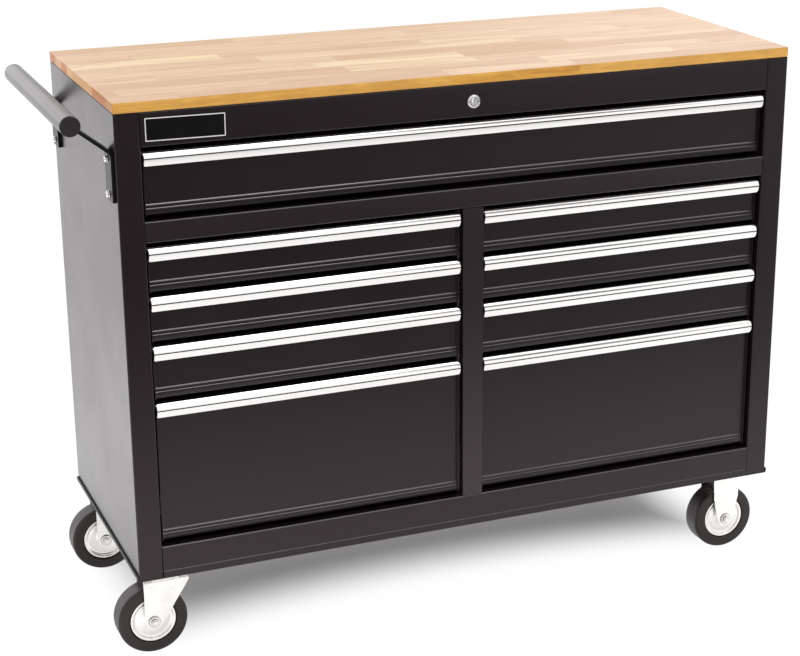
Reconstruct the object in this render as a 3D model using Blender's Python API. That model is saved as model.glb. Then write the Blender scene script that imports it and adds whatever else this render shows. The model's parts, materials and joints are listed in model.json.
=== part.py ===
# A rolling tool cart: a folded steel cabinet with nine drawers on slides, a wooden worktop,
# a side push handle, a key lock and four casters. Metres, +Z up, the front faces -Y.
import bpy
import bmesh
from math import acos, atan2, cos, hypot, pi, sin, tan

# Whole cabinet
CABINET_WIDTH = 1.1684
CABINET_DEPTH = 0.4510
CABINET_HEIGHT = 0.7685
WORKTOP_THICKNESS = 0.0167
WORKTOP_EASING = 0.0010
SEAT = 0.0003

# Sheet metal
CABINET_SHEET = 0.0012
TRAY_SHEET = 0.0010
BEND_RADIUS = 0.0020
BEND_STEPS = 2
EMBED = 0.0003

# Front posts, rails and the centre divider
POST_WIDTH = 0.0397
POST_RETURN = 0.0180
DIVIDER_WIDTH = 0.0356
TOP_RAIL_HEIGHT = 0.0537
MIDDLE_RAIL_DROP = 0.1700
MIDDLE_RAIL_HEIGHT = 0.0340
BOTTOM_RAIL_HEIGHT = 0.0555
RAIL_LEDGE = 0.0180
RAIL_LIP = 0.0070
TOP_RAIL_LEDGE = 0.0250
TOP_FLANGE_WIDTH = 0.0220
BACK_FLANGE_WIDTH = 0.0150

# Base pan
PAN_SHEET = 0.0024
PAN_LIP_HEIGHT = 0.0090
PAN_STRIP_HEIGHT = 0.0125
PAN_STRIP_SLOPE = 0.0015

# Drawers, from the rails' edges down
REVEAL = 0.0076
SIDE_REVEAL = 0.0042
LOW_FACE_HEIGHT = 0.0735
MIDDLE_FACE_HEIGHT = 0.0875
FACE_RECESS = 0.0150
FACE_SHEET = 0.0012
FACE_RETURN = 0.0050
FACE_END_DROP = 0.0020
BEAD_HIGH = 0.0150
BEAD_LOW = 0.0090
BEAD_PROUD = 0.0014
BEAD_SLOPE = 0.0008
BEAD_END = 0.0065
TRAY_BACK_SPACE = 0.0310
TRAY_TOP_DROP = 0.0060
TRAY_FLOOR_RISE = 0.0020
HEM_HEIGHT = 0.0060

# Slides
SLIDE_HEIGHT = 0.0350
SLIDE_REACH = 0.0085
SLIDE_SHEET = 0.0012
SLIDE_LIP = 0.0050
SLIDE_SPACE = 0.0117
SLIDE_FRONT_SPACE = 0.0040
SLIDE_BACK_SPACE = 0.0340
RUNNER_SHEET = 0.0015
RUNNER_PLAY = 0.0003
RUNNER_SIDE_PLAY = 0.0010
RUNNER_NECK_PLAY = 0.0025
RUNNER_SHORTER = 0.0040
SLIDE_HEIGHT_SHARE = 0.42
DEEP_SLIDE_HEIGHT_SHARE = 0.25
DEEP_FACE_HEIGHT = 0.1500

# Racks
RACK_MARGIN = 0.0015
STILE_WIDTH = 0.0300
STILE_FRONT_SPACE = 0.0025
STILE_BACK_SPACE = 0.0450

# Drawer pulls
PULL_HEIGHT = 0.0235
PULL_SHEET = 0.0018
PULL_WAIST_DROP = 0.0110
PULL_TOP_DEPTH = 0.0072
PULL_FOOT_DEPTH = 0.0042
PULL_WAIST_DEPTH = 0.0003
PULL_BULGE = 0.0011
PULL_GROOVE = 0.0009
PULL_GROOVE_DEPTH = 0.0011
PULL_BACK_HEIGHT = 0.0120
PULL_ARC_STEPS = 4

# Push handle on the left side
TUBE_RADIUS = 0.0159
TUBE_WALL = 0.0020
TUBE_OUT = 0.0627
TUBE_DROP = 0.0143
TUBE_INSET = 0.0080
CAP_THICKNESS = 0.0025
CAP_PLUG = 0.0120
CAP_EDGE = 0.0010
STRAP_WIDTH = 0.0400
STRAP_THICKNESS = 0.0048
STRAP_INSET = 0.0100
STRAP_BEND_DROP = 0.0620
STRAP_BEND_RADIUS = 0.0090
HIGH_BOLT_BELOW_BEND = 0.0105
BOLT_SPACING = 0.0550
STRAP_FOOT_BELOW_BOLT = 0.0105
BOLT_RADIUS = 0.0032
BOLT_WASHER_RADIUS = 0.0056
BOLT_WASHER_THICKNESS = 0.0012
BOLT_HEAD_RADIUS = 0.0049
BOLT_HEAD_HEIGHT = 0.0036
BOLT_HEAD_EDGE = 0.0012
BOLT_SOCKET_RADIUS = 0.0026
BOLT_SOCKET_DEPTH = 0.0022
BOLT_CLEARANCE = 0.0003
WELD_NUT_RADIUS = 0.0070
WELD_NUT_HEIGHT = 0.0060

# Lock
LOCK_DROP = 0.0281
LOCK_BEZEL_RADIUS = 0.0114
LOCK_BEZEL_PROUD = 0.0030
LOCK_BEZEL_EDGE = 0.0012
LOCK_BARREL_RADIUS = 0.0090
LOCK_BARREL_DEPTH = 0.0200
LOCK_NUT_RADIUS = 0.0130
LOCK_NUT_THICKNESS = 0.0035
LOCK_PLUG_RADIUS = 0.0064
LOCK_PLUG_RECESS = 0.0008
LOCK_COLLAR_RADIUS = 0.0084
LOCK_COLLAR_THICKNESS = 0.0012
KEY_SLOT_WIDTH = 0.0014
KEY_SLOT_HEIGHT = 0.0080
KEY_SLOT_DEPTH = 0.0050
CAM_THICKNESS = 0.0020
CAM_WIDTH = 0.0120
CAM_REACH = 0.0420

# Casters
WHEEL_RADIUS = 0.0585
TYRE_WIDTH = 0.0400
TYRE_SHOULDER = 0.0050
TYRE_SEAT_EDGE = 0.0016
SHOULDER_STEPS = 3
WHEEL_TOP_CLEARANCE = 0.0130
HUB_RADIUS = 0.0384
HUB_INSET = 0.0014
HUB_LIP = 0.0026
HUB_RIM = 0.0064
HUB_DISH = 0.0034
HUB_BOSS_RADIUS = 0.0125
HUB_BOSS_FLARE = 0.0040
LEG_CLEARANCE = 0.0030
LEG_THICKNESS = 0.0025
LEG_END_RADIUS = 0.0150
LEG_BEND = 0.0045
AXLE_RADIUS = 0.0050
AXLE_FLANGE_RADIUS = 0.0098
AXLE_FLANGE_THICKNESS = 0.0022
AXLE_HEAD_RADIUS = 0.0063
AXLE_HEAD_HEIGHT = 0.0052
AXLE_HEAD_EDGE = 0.0010
SWIVEL_SIDE_INSET = 0.0500
SWIVEL_END_INSET = 0.0540
SWIVEL_TRAIL = 0.0230
RIGID_SIDE_INSET = 0.0665
RIGID_END_INSET = 0.0460
PLATE_LENGTH = 0.0900
PLATE_WIDTH = 0.0660
PLATE_THICKNESS = 0.0030
PLATE_CORNER = 0.0070
RACE_RADIUS = 0.0300
RACE_DEPTH = 0.0060
CUP_RADIUS = 0.0335
CUP_WALL = 0.0030
CROWN_DROP = 0.0150
CROWN_HALF_LENGTH = 0.0380
CROWN_EDGE_HEIGHT = 0.0067
KINGPIN_RADIUS = 0.0055
KINGPIN_HEAD_RADIUS = 0.0095
KINGPIN_HEAD_HEIGHT = 0.0034
RIGID_HALF_LENGTH = 0.0250
RIGID_STRAIGHT = 0.0450
ROUND_STEPS = 24
SMALL_ROUND_STEPS = 16
TINY_ROUND_STEPS = 12
END_ARC_STEPS = 8

# Places that follow from the sizes
FRONT = -CABINET_DEPTH / 2
BACK = CABINET_DEPTH / 2
SIDE = CABINET_WIDTH / 2
AXLE_DROP = CROWN_DROP + LEG_THICKNESS + WHEEL_TOP_CLEARANCE + WHEEL_RADIUS
FLOOR = AXLE_DROP + WHEEL_RADIUS
TOP = FLOOR + CABINET_HEIGHT
POST_INNER = SIDE - POST_WIDTH
DIVIDER_HALF = DIVIDER_WIDTH / 2
MIDDLE_RAIL_TOP = TOP - MIDDLE_RAIL_DROP
MIDDLE_RAIL_BOTTOM = MIDDLE_RAIL_TOP - MIDDLE_RAIL_HEIGHT
BOTTOM_RAIL_TOP = FLOOR + BOTTOM_RAIL_HEIGHT
PAN_TOP = FLOOR + PAN_SHEET + SEAT
PAN_OUT = SIDE + SEAT + PAN_SHEET
BACK_FACE = BACK - CABINET_SHEET - SEAT
LEG_OUTER = TYRE_WIDTH / 2 + LEG_CLEARANCE + LEG_THICKNESS
TUBE_X = -SIDE - TUBE_OUT
TUBE_Z = TOP - TUBE_DROP
LOCK_Z = TOP - LOCK_DROP
COLUMN_CENTRE = (POST_INNER + DIVIDER_HALF) / 2
COLUMN_HALF = (POST_INNER - DIVIDER_HALF) / 2
FACE_BACK = FACE_RECESS + FACE_SHEET
TRAY_BACK = CABINET_DEPTH - TRAY_BACK_SPACE

# The origin is under the middle of the whole object, which the handle and the lock make lopsided
ORIGIN_X = (PAN_OUT - SIDE - TUBE_OUT - TUBE_RADIUS) / 2
ORIGIN_Y = (BACK + FRONT - LOCK_BEZEL_PROUD) / 2

# Colour, roughness and metallic value of each finish
BLACK_PAINT = ((0.020, 0.018, 0.019), 0.28, 0.0)
BLACK_STRAP = ((0.012, 0.012, 0.012), 0.40, 0.0)
WOOD = ((0.66, 0.44, 0.24), 0.45, 0.0)
BRUSHED_ALUMINIUM = ((0.80, 0.80, 0.79), 0.30, 1.0)
ZINC = ((0.72, 0.73, 0.74), 0.28, 1.0)
CHROME = ((0.78, 0.78, 0.79), 0.15, 1.0)
RUBBER = ((0.025, 0.020, 0.019), 0.65, 0.0)
TUBE_PAINT = ((0.045, 0.043, 0.045), 0.35, 0.0)
CAP_PLASTIC = ((0.020, 0.019, 0.020), 0.50, 0.0)


def clear_scene():
    for item in list(bpy.data.objects):
        bpy.data.objects.remove(item, do_unlink=True)


def make_material(name, finish):
    colour, roughness, metallic = finish
    material = bpy.data.materials.new(name)
    material.use_nodes = True
    shader = material.node_tree.nodes["Principled BSDF"]
    shader.inputs["Base Color"].default_value = (*colour, 1.0)
    shader.inputs["Roughness"].default_value = roughness
    shader.inputs["Metallic"].default_value = metallic
    return material


def make_empty(name, location, parent=None):
    empty = bpy.data.objects.new(name, None)
    empty.location = location
    empty.parent = parent
    bpy.context.collection.objects.link(empty)
    return empty


def make_mesh(name, shapes, smooth=False):
    # Each shape adds one closed body to a new mesh
    work = bmesh.new()
    for shape in shapes:
        shape(work)
    bmesh.ops.recalc_face_normals(work, faces=work.faces)
    mesh = bpy.data.meshes.new(name)
    work.to_mesh(mesh)
    work.free()
    if smooth:
        mesh.shade_smooth()
        mesh.set_sharp_from_angle(angle=pi / 6)
    return mesh


def place(name, mesh, finish, parent, location=(0, 0, 0)):
    item = bpy.data.objects.new(name, mesh)
    item.location = location
    item.parent = parent
    if not mesh.materials:
        mesh.materials.append(make_material(name, finish))
    bpy.context.collection.objects.link(item)
    return item


def tool(item, name, shapes, operation):
    # A hidden body that is joined to the piece or cut out of it
    helper = bpy.data.objects.new(item.name + "_" + name, make_mesh(item.name + "_" + name, shapes))
    helper.location = item.location
    helper.parent = item.parent
    helper.hide_render = True
    helper.display_type = "WIRE"
    bpy.context.collection.objects.link(helper)
    change = item.modifiers.new(name, "BOOLEAN")
    change.operation = operation
    change.solver = "EXACT"
    change.object = helper
    return helper


def joined(item, name, shapes):
    return tool(item, name, shapes, "UNION")


def cut(item, name, shapes):
    return tool(item, name, shapes, "DIFFERENCE")


def point_on(axis, along, pair):
    if axis == "X":
        return (along, pair[0], pair[1])
    if axis == "Y":
        return (pair[0], along, pair[1])
    return (pair[0], pair[1], along)


def prism(outline, axis, start, end):
    # An outline in the plane across the axis, drawn out between two planes
    def shape(work):
        near = [work.verts.new(point_on(axis, start, pair)) for pair in outline]
        far = [work.verts.new(point_on(axis, end, pair)) for pair in outline]
        count = len(outline)
        work.faces.new(near)
        work.faces.new(far[::-1])
        for index in range(count):
            after = (index + 1) % count
            work.faces.new((near[index], far[index], far[after], near[after]))
    return shape


def box(low, high):
    outline = [(low[0], low[1]), (high[0], low[1]), (high[0], high[1]), (low[0], high[1])]
    return prism(outline, "Z", low[2], high[2])


def disc(centre, radius, steps, start_angle=0.0):
    turns = [start_angle + 2 * pi * index / steps for index in range(steps)]
    return [(centre[0] + radius * cos(turn), centre[1] + radius * sin(turn)) for turn in turns]


def rod(centre, axis, radius, start, end, steps):
    return prism(disc(centre, radius, steps), axis, start, end)


def turned(profile, axis, centre, steps):
    # A closed profile of radius and height, turned once round the axis
    def shape(work):
        rings = []
        for radius, height in profile:
            if radius <= 0:
                rings.append([work.verts.new(point_on(axis, height, centre))])
            else:
                ring = [work.verts.new(point_on(axis, height, pair)) for pair in disc(centre, radius, steps)]
                rings.append(ring)
        count = len(rings)
        for index in range(count):
            first, second = rings[index], rings[(index + 1) % count]
            if len(first) == 1 and len(second) == 1:
                continue
            for step in range(steps):
                after = (step + 1) % steps
                corners = [first[step % len(first)], first[after % len(first)]]
                corners += [second[after % len(second)], second[step % len(second)]]
                work.faces.new(list(dict.fromkeys(corners)))
    return shape


def unit(start, end):
    length = hypot(end[0] - start[0], end[1] - start[1])
    return ((end[0] - start[0]) / length, (end[1] - start[1]) / length)


def left_of(direction):
    return (-direction[1], direction[0])


def shifted(point, direction, distance):
    return (point[0] + direction[0] * distance, point[1] + direction[1] * distance)


def fold(points, thickness, radius=BEND_RADIUS, steps=BEND_STEPS):
    # The outline of a bent sheet: the points run along one skin, the sheet lies to their left,
    # and no bend steps leave the corners sharp
    skin = []
    other = []
    last = len(points) - 1
    for index, point in enumerate(points):
        if index in (0, last):
            segment = (points[0], points[1]) if index == 0 else (points[-2], points[-1])
            side = left_of(unit(*segment))
            skin.append(point)
            other.append(shifted(point, side, thickness))
            continue
        before = unit(points[index - 1], point)
        after = unit(point, points[index + 1])
        side = left_of(before)
        if steps == 0:
            next_side = left_of(after)
            mitre = thickness / (1 + side[0] * next_side[0] + side[1] * next_side[1])
            skin.append(point)
            other.append(shifted(point, (side[0] + next_side[0], side[1] + next_side[1]), mitre))
            continue
        turn = 1 if before[0] * after[1] - before[1] * after[0] > 0 else -1
        angle = acos(before[0] * after[0] + before[1] * after[1])
        skin_radius = radius if turn > 0 else radius - thickness
        other_radius = skin_radius - thickness * turn
        start = shifted(point, before, -skin_radius * tan(angle / 2))
        centre = shifted(start, side, skin_radius * turn)
        base_angle = atan2(-side[1] * turn, -side[0] * turn)
        for step in range(steps + 1):
            reach = base_angle + turn * angle * step / steps
            out = (cos(reach), sin(reach))
            skin.append(shifted(centre, out, skin_radius))
            other.append(shifted(centre, out, other_radius))
    return skin + other[::-1]


def mirrored(outline):
    return [(-pair[0], pair[1]) for pair in outline]


def build_worktop(parent):
    low = (-SIDE, FRONT, TOP + SEAT)
    high = (SIDE, BACK, TOP + SEAT + WORKTOP_THICKNESS)
    item = place("wood_top", make_mesh("wood_top", [box(low, high)]), WOOD, parent)
    easing = item.modifiers.new("easing", "BEVEL")
    easing.width = WORKTOP_EASING
    easing.segments = 1


def side_outline():
    # Seen from above, from the back flange round to the return behind the post
    points = [
        (-SIDE + BACK_FLANGE_WIDTH, BACK),
        (-SIDE, BACK),
        (-SIDE, FRONT),
        (-POST_INNER, FRONT),
        (-POST_INNER, FRONT + POST_RETURN),
    ]
    return fold(points, CABINET_SHEET)


def bolt_drops():
    high = STRAP_BEND_DROP + HIGH_BOLT_BELOW_BEND
    return (high, high + BOLT_SPACING)


def strap_middles():
    near = FRONT + STRAP_INSET + STRAP_WIDTH / 2
    return (near, -near)


def build_side(name, parent, left):
    hand = 1 if left else -1
    outline = side_outline() if left else mirrored(side_outline())
    mesh = make_mesh(name, [prism(outline, "Z", PAN_TOP, TOP)])
    item = place(name, mesh, BLACK_PAINT, parent)
    inner = -SIDE + TOP_FLANGE_WIDTH
    outer = -SIDE + CABINET_SHEET - EMBED
    ends = sorted((hand * outer, hand * inner))
    front = FRONT + POST_RETURN + SEAT
    back = BACK_FACE - TOP_FLANGE_WIDTH - SEAT
    flange = box((ends[0], front, TOP - CABINET_SHEET), (ends[1], back, TOP))
    joined(item, "top_flange", [flange])
    if left:
        spots = [(y, TOP - drop) for y in strap_middles() for drop in bolt_drops()]
        start = -SIDE + CABINET_SHEET - EMBED
        nuts = [rod(spot, "X", WELD_NUT_RADIUS, start, start + WELD_NUT_HEIGHT, SMALL_ROUND_STEPS // 2)
                for spot in spots]
        joined(item, "weld_nuts", nuts)
        hole = BOLT_RADIUS + BOLT_CLEARANCE
        reach = WELD_NUT_HEIGHT + CABINET_SHEET
        holes = [rod(spot, "X", hole, -SIDE - reach, -SIDE + reach + EMBED, TINY_ROUND_STEPS)
                 for spot in spots]
        cut(item, "bolt_holes", holes)


def build_back(parent):
    half = SIDE - BEND_RADIUS
    top = TOP - SEAT
    points = [(BACK_FACE, PAN_TOP), (BACK_FACE, top), (BACK_FACE - TOP_FLANGE_WIDTH, top)]
    outline = fold(points, CABINET_SHEET)
    place("back_panel", make_mesh("back_panel", [prism(outline, "X", -half, half)]), BLACK_PAINT, parent)


def build_top_rail(parent):
    half = POST_INNER - SEAT
    bottom = TOP - TOP_RAIL_HEIGHT
    points = [
        (FRONT + TOP_RAIL_LEDGE, TOP),
        (FRONT, TOP),
        (FRONT, bottom),
        (FRONT + RAIL_LEDGE, bottom),
        (FRONT + RAIL_LEDGE, bottom + RAIL_LIP),
    ]
    mesh = make_mesh("top_rail", [prism(fold(points, CABINET_SHEET), "X", -half, half)])
    item = place("top_rail", mesh, BLACK_PAINT, parent)
    hole = LOCK_BARREL_RADIUS + SEAT
    reach = CABINET_SHEET * 2
    span = (FRONT - reach, FRONT + reach)
    cut(item, "lock_hole", [rod((0, LOCK_Z), "Y", hole, *span, SMALL_ROUND_STEPS)])


def build_middle_rail(parent):
    half = POST_INNER - SEAT
    points = [
        (FRONT + RAIL_LEDGE, MIDDLE_RAIL_TOP - RAIL_LIP),
        (FRONT + RAIL_LEDGE, MIDDLE_RAIL_TOP),
        (FRONT, MIDDLE_RAIL_TOP),
        (FRONT, MIDDLE_RAIL_BOTTOM),
        (FRONT + RAIL_LEDGE, MIDDLE_RAIL_BOTTOM),
        (FRONT + RAIL_LEDGE, MIDDLE_RAIL_BOTTOM + RAIL_LIP),
    ]
    mesh = make_mesh("middle_rail", [prism(fold(points, CABINET_SHEET), "X", -half, half)])
    place("middle_rail", mesh, BLACK_PAINT, parent)


def build_base(parent):
    # The pan turns up round the side panels, and its front turns up into the bottom rail
    lip = FLOOR + PAN_LIP_HEIGHT
    points = [(-PAN_OUT, lip), (-PAN_OUT, FLOOR), (PAN_OUT, FLOOR), (PAN_OUT, lip)]
    pan = prism(fold(points, PAN_SHEET, PAN_SHEET + EMBED), "Y", FRONT, BACK)
    item = place("base_pan", make_mesh("base_pan", [pan]), BLACK_PAINT, parent)
    half = POST_INNER - SEAT
    rail = [
        (FRONT + RAIL_LEDGE, BOTTOM_RAIL_TOP - RAIL_LIP),
        (FRONT + RAIL_LEDGE, BOTTOM_RAIL_TOP),
        (FRONT, BOTTOM_RAIL_TOP),
        (FRONT, FLOOR + PAN_STRIP_HEIGHT),
        (FRONT + PAN_STRIP_SLOPE, FLOOR + PAN_SHEET / 2),
    ]
    joined(item, "bottom_rail", [prism(fold(rail, CABINET_SHEET), "X", -half, half)])


def build_divider(parent):
    back = BACK_FACE - CABINET_SHEET - SEAT
    top = MIDDLE_RAIL_BOTTOM - SEAT
    low = (-DIVIDER_HALF, FRONT, PAN_TOP)
    high = (DIVIDER_HALF, back, top)
    item = place("center_divider", make_mesh("center_divider", [box(low, high)]), BLACK_PAINT, parent)
    wall = CABINET_SHEET
    inside_low = (low[0] + wall, low[1] + wall, FLOOR)
    inside_high = (high[0] - wall, high[1] - wall, top + wall)
    cut(item, "inside", [box(inside_low, inside_high)])
    notch_low = (-DIVIDER_WIDTH, FRONT - wall, FLOOR)
    notch_high = (DIVIDER_WIDTH, FRONT + RAIL_LEDGE + SEAT, BOTTOM_RAIL_TOP + SEAT)
    cut(item, "rail_notch", [box(notch_low, notch_high)])


def column_faces():
    # Top and bottom of each front in a column, from the top one down
    heights = [LOW_FACE_HEIGHT, LOW_FACE_HEIGHT, MIDDLE_FACE_HEIGHT]
    space = MIDDLE_RAIL_BOTTOM - BOTTOM_RAIL_TOP
    heights.append(space - sum(heights) - REVEAL * (len(heights) + 2))
    faces = []
    level = MIDDLE_RAIL_BOTTOM - REVEAL
    for height in heights:
        faces.append((level, height))
        level = level - height - REVEAL
    return faces


def drawer_list():
    # Name, middle of the opening, half of its width, top and height of the front
    top = TOP - TOP_RAIL_HEIGHT - REVEAL
    height = MIDDLE_RAIL_DROP - TOP_RAIL_HEIGHT - REVEAL * 2
    drawers = [("top", 0.0, POST_INNER, top, height)]
    for side, middle in (("left", -COLUMN_CENTRE), ("right", COLUMN_CENTRE)):
        for row, (level, face) in enumerate(column_faces()):
            drawers.append((side + "_" + str(row + 1), middle, COLUMN_HALF, level, face))
    return drawers


def slide_level(top, height):
    share = DEEP_SLIDE_HEIGHT_SHARE if height > DEEP_FACE_HEIGHT else SLIDE_HEIGHT_SHARE
    lowest = SLIDE_HEIGHT / 2 + TRAY_FLOOR_RISE + TRAY_SHEET
    return top - height + max(height * share, lowest)


def slide_outline(plane, level, hand):
    # The C rail on the cabinet, open towards the tray; the hand is +1 where the tray lies at +X
    half = SLIDE_HEIGHT / 2
    tip = SLIDE_REACH
    points = [
        (tip, half - SLIDE_LIP),
        (tip, half),
        (-EMBED, half),
        (-EMBED, -half),
        (tip, -half),
        (tip, -half + SLIDE_LIP),
    ]
    outline = fold(points, SLIDE_SHEET, steps=0)
    return [(plane + hand * pair[0], level + pair[1]) for pair in outline]


def runner_outline(plane, side, hand):
    # The rail on the tray: a plate inside the C rail and two walls that carry it on the tray's side
    near = SLIDE_SHEET + RUNNER_SIDE_PLAY
    far = near + RUNNER_SHEET
    half = SLIDE_HEIGHT / 2 - SLIDE_SHEET - RUNNER_PLAY
    neck = SLIDE_HEIGHT / 2 - SLIDE_LIP - RUNNER_NECK_PLAY
    bore = neck - RUNNER_SHEET
    end = SLIDE_SPACE + EMBED
    points = [(near, half), (far, half), (far, neck), (end, neck), (end, bore), (far, bore)]
    points += [(far, -bore), (end, -bore), (end, -neck), (far, -neck), (far, -half), (near, -half)]
    return [(plane + hand * pair[0], side + pair[1]) for pair in points]


def rack_slides(plane, hand, levels):
    start = FRONT + POST_RETURN + SLIDE_FRONT_SPACE
    end = BACK - SLIDE_BACK_SPACE
    return [prism(slide_outline(plane, level, hand), "Y", start, end) for level in levels]


def stile_spans():
    start = FRONT + POST_RETURN + STILE_FRONT_SPACE
    end = BACK - STILE_BACK_SPACE
    return [(start, start + STILE_WIDTH), (end - STILE_WIDTH, end)]


def outer_rack(name, parent, hand, levels):
    # Two channels that stand against the side panel and carry the slides
    wall = -SIDE + CABINET_SHEET + SEAT
    plane = -POST_INNER + RACK_MARGIN
    top = TOP - CABINET_SHEET - SEAT
    shapes = []
    for start, end in stile_spans():
        points = [(wall, start), (plane, start), (plane, end), (wall, end)]
        outline = fold(points, CABINET_SHEET, steps=0)
        outline = outline if hand > 0 else mirrored(outline)
        shapes.append(prism(outline, "Z", PAN_TOP, top))
    item = place(name, make_mesh(name, shapes), ZINC, parent)
    joined(item, "slides", rack_slides(hand * plane, hand, levels))


def inner_rack(name, parent, hand, levels):
    # Two straps on the divider that carry the slides; the hand points to the tray
    near = DIVIDER_HALF + SEAT
    plane = DIVIDER_HALF + RACK_MARGIN
    low = PAN_TOP
    top = MIDDLE_RAIL_BOTTOM - REVEAL
    edges = sorted((hand * near, hand * plane))
    shapes = [box((edges[0], start, low), (edges[1], end, top)) for start, end in stile_spans()]
    item = place(name, make_mesh(name, shapes), ZINC, parent)
    joined(item, "slides", rack_slides(hand * plane, hand, levels))


def build_racks(parent):
    drawers = drawer_list()
    levels = {drawer[0]: slide_level(drawer[3], drawer[4]) for drawer in drawers}
    left = [level for name, level in levels.items() if name.startswith("left")]
    right = [level for name, level in levels.items() if name.startswith("right")]
    outer_rack("left_slide_rack", parent, 1, [levels["top"]] + left)
    outer_rack("right_slide_rack", parent, -1, [levels["top"]] + right)
    inner_rack("divider_left_rack", parent, -1, left)
    inner_rack("divider_right_rack", parent, 1, right)


def pull_outline():
    # Seen from the side, depth behind the front plane against height below the front's top edge
    back = FACE_RECESS - SEAT
    outer = []
    for step in range(PULL_ARC_STEPS + 1):
        share = step / PULL_ARC_STEPS
        depth = PULL_TOP_DEPTH + (PULL_WAIST_DEPTH - PULL_TOP_DEPTH) * share
        bulge = PULL_BULGE * sin(pi * share)
        outer.append((depth - bulge, -(PULL_WAIST_DROP - PULL_GROOVE) * share))
    waist = -PULL_WAIST_DROP
    groove = [(PULL_WAIST_DEPTH + PULL_GROOVE_DEPTH, waist), (PULL_WAIST_DEPTH, waist - PULL_GROOVE)]
    foot = -PULL_HEIGHT
    edge = PULL_SHEET / 2
    skirt = [(PULL_FOOT_DEPTH - edge / 2, foot + edge), (PULL_FOOT_DEPTH + edge / 2, foot)]
    inside = [
        (PULL_FOOT_DEPTH + PULL_SHEET, foot),
        (PULL_WAIST_DEPTH + PULL_SHEET + PULL_GROOVE_DEPTH, waist - PULL_GROOVE),
        (PULL_WAIST_DEPTH + PULL_SHEET + PULL_GROOVE_DEPTH, waist + PULL_GROOVE),
        (PULL_TOP_DEPTH + PULL_SHEET / 2, -PULL_SHEET),
        (back - PULL_SHEET, -PULL_SHEET),
        (back - PULL_SHEET, -PULL_BACK_HEIGHT),
        (back, -PULL_BACK_HEIGHT),
        (back, 0),
    ]
    return outer + groove + skirt + inside


def tray_space(tray_half, floor):
    # The hollow of the tray, seen from the front, with a hem turned in along the two side walls
    wall = tray_half - TRAY_SHEET
    hem = tray_half - TRAY_SHEET * 2
    rim = -TRAY_TOP_DROP - HEM_HEIGHT
    bottom = floor + TRAY_SHEET
    right = [(wall, bottom), (wall, rim), (hem, rim), (hem, REVEAL)]
    return right + mirrored(right)[::-1]


def front_plate(face_half, height):
    # The drawer's front, whose top corners are notched so that its ends can be turned forward
    half = face_half - BEND_RADIUS
    return box((-half, FACE_RECESS, -height), (half, FACE_BACK, 0))


def front_ends(face_half, height):
    # Seen from above, an edge turned forward at each end, from under the pull to just below the front's foot
    rim = FACE_RECESS - FACE_RETURN
    points = [(face_half, rim), (face_half, FACE_BACK), (face_half - BEND_RADIUS * 2, FACE_BACK)]
    outline = fold(points, FACE_SHEET)
    span = (-height - FACE_END_DROP, -PULL_BACK_HEIGHT - SEAT)
    return [prism(outline, "Z", *span), prism(mirrored(outline), "Z", *span)]


def bead_profile(height):
    # Two steps rolled into the foot of the front, seen from the side
    bottom = -height
    high = bottom + BEAD_HIGH
    low = bottom + BEAD_LOW
    proud = FACE_RECESS - BEAD_PROUD
    prouder = proud - BEAD_PROUD
    root = FACE_RECESS + EMBED
    return [
        (root, bottom),
        (root, high + BEAD_SLOPE),
        (FACE_RECESS, high + BEAD_SLOPE),
        (proud, high),
        (proud, low + BEAD_SLOPE),
        (prouder, low),
        (prouder, bottom),
    ]


def build_tray(body, name, half, top, height):
    # One folded piece: the tray, its front and the runners on its side walls
    face_half = half - SIDE_REVEAL
    bead_half = face_half - BEAD_END
    plane = half - RACK_MARGIN
    tray_half = plane - SLIDE_SPACE
    floor = -height + TRAY_FLOOR_RISE
    front = FACE_BACK - EMBED
    shell = box((-tray_half, front, floor), (tray_half, TRAY_BACK, -TRAY_TOP_DROP))
    item = place(name, make_mesh(name, [shell]), BLACK_PAINT, body)
    space = prism(tray_space(tray_half, floor), "Y", front + TRAY_SHEET, TRAY_BACK - TRAY_SHEET)
    cut(item, "inside", [space])
    joined(item, "front", [front_plate(face_half, height)])
    joined(item, "front_ends", front_ends(face_half, height))
    joined(item, "beads", [prism(bead_profile(height), "X", -bead_half, bead_half)])
    level = slide_level(top, height) - top
    run = (FACE_BACK + RUNNER_SHORTER, TRAY_BACK - RUNNER_SHORTER)
    runners = [prism(runner_outline(hand * plane, level, -hand), "Y", *run) for hand in (-1, 1)]
    joined(item, "runners", runners)


def build_drawer(parent, name, middle, half, top, height):
    # The drawer's own frame stands at the middle of its front's top edge
    body = make_empty(name + "_drawer", (middle, FRONT, top), parent)
    build_tray(body, name + "_drawer_tray", half, top, height)
    pull = name + "_drawer_pull"
    pull_half = half - SIDE_REVEAL
    mesh = make_mesh(pull, [prism(pull_outline(), "X", -pull_half, pull_half)])
    place(pull, mesh, BRUSHED_ALUMINIUM, body)


def strap_outline():
    # The strap against the side panel, bent out and up to the tube: the skin nearer the cabinet,
    # from the foot up and round to the tube
    inner = -SIDE - SEAT
    bend = (inner - STRAP_THICKNESS / 2, TOP - STRAP_BEND_DROP)
    aim = unit(bend, (TUBE_X, TUBE_Z))
    slope = aim[1] / aim[0]
    rise = STRAP_THICKNESS / 2 * hypot(1, slope)
    foot = (inner, TOP - bolt_drops()[1] - STRAP_FOOT_BELOW_BOLT)
    corner = (inner, bend[1] + slope * (inner - bend[0]) + rise)
    end = (TUBE_X, TUBE_Z + rise)
    return fold([foot, corner, end], STRAP_THICKNESS, STRAP_BEND_RADIUS, BEND_STEPS * 2)


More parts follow.
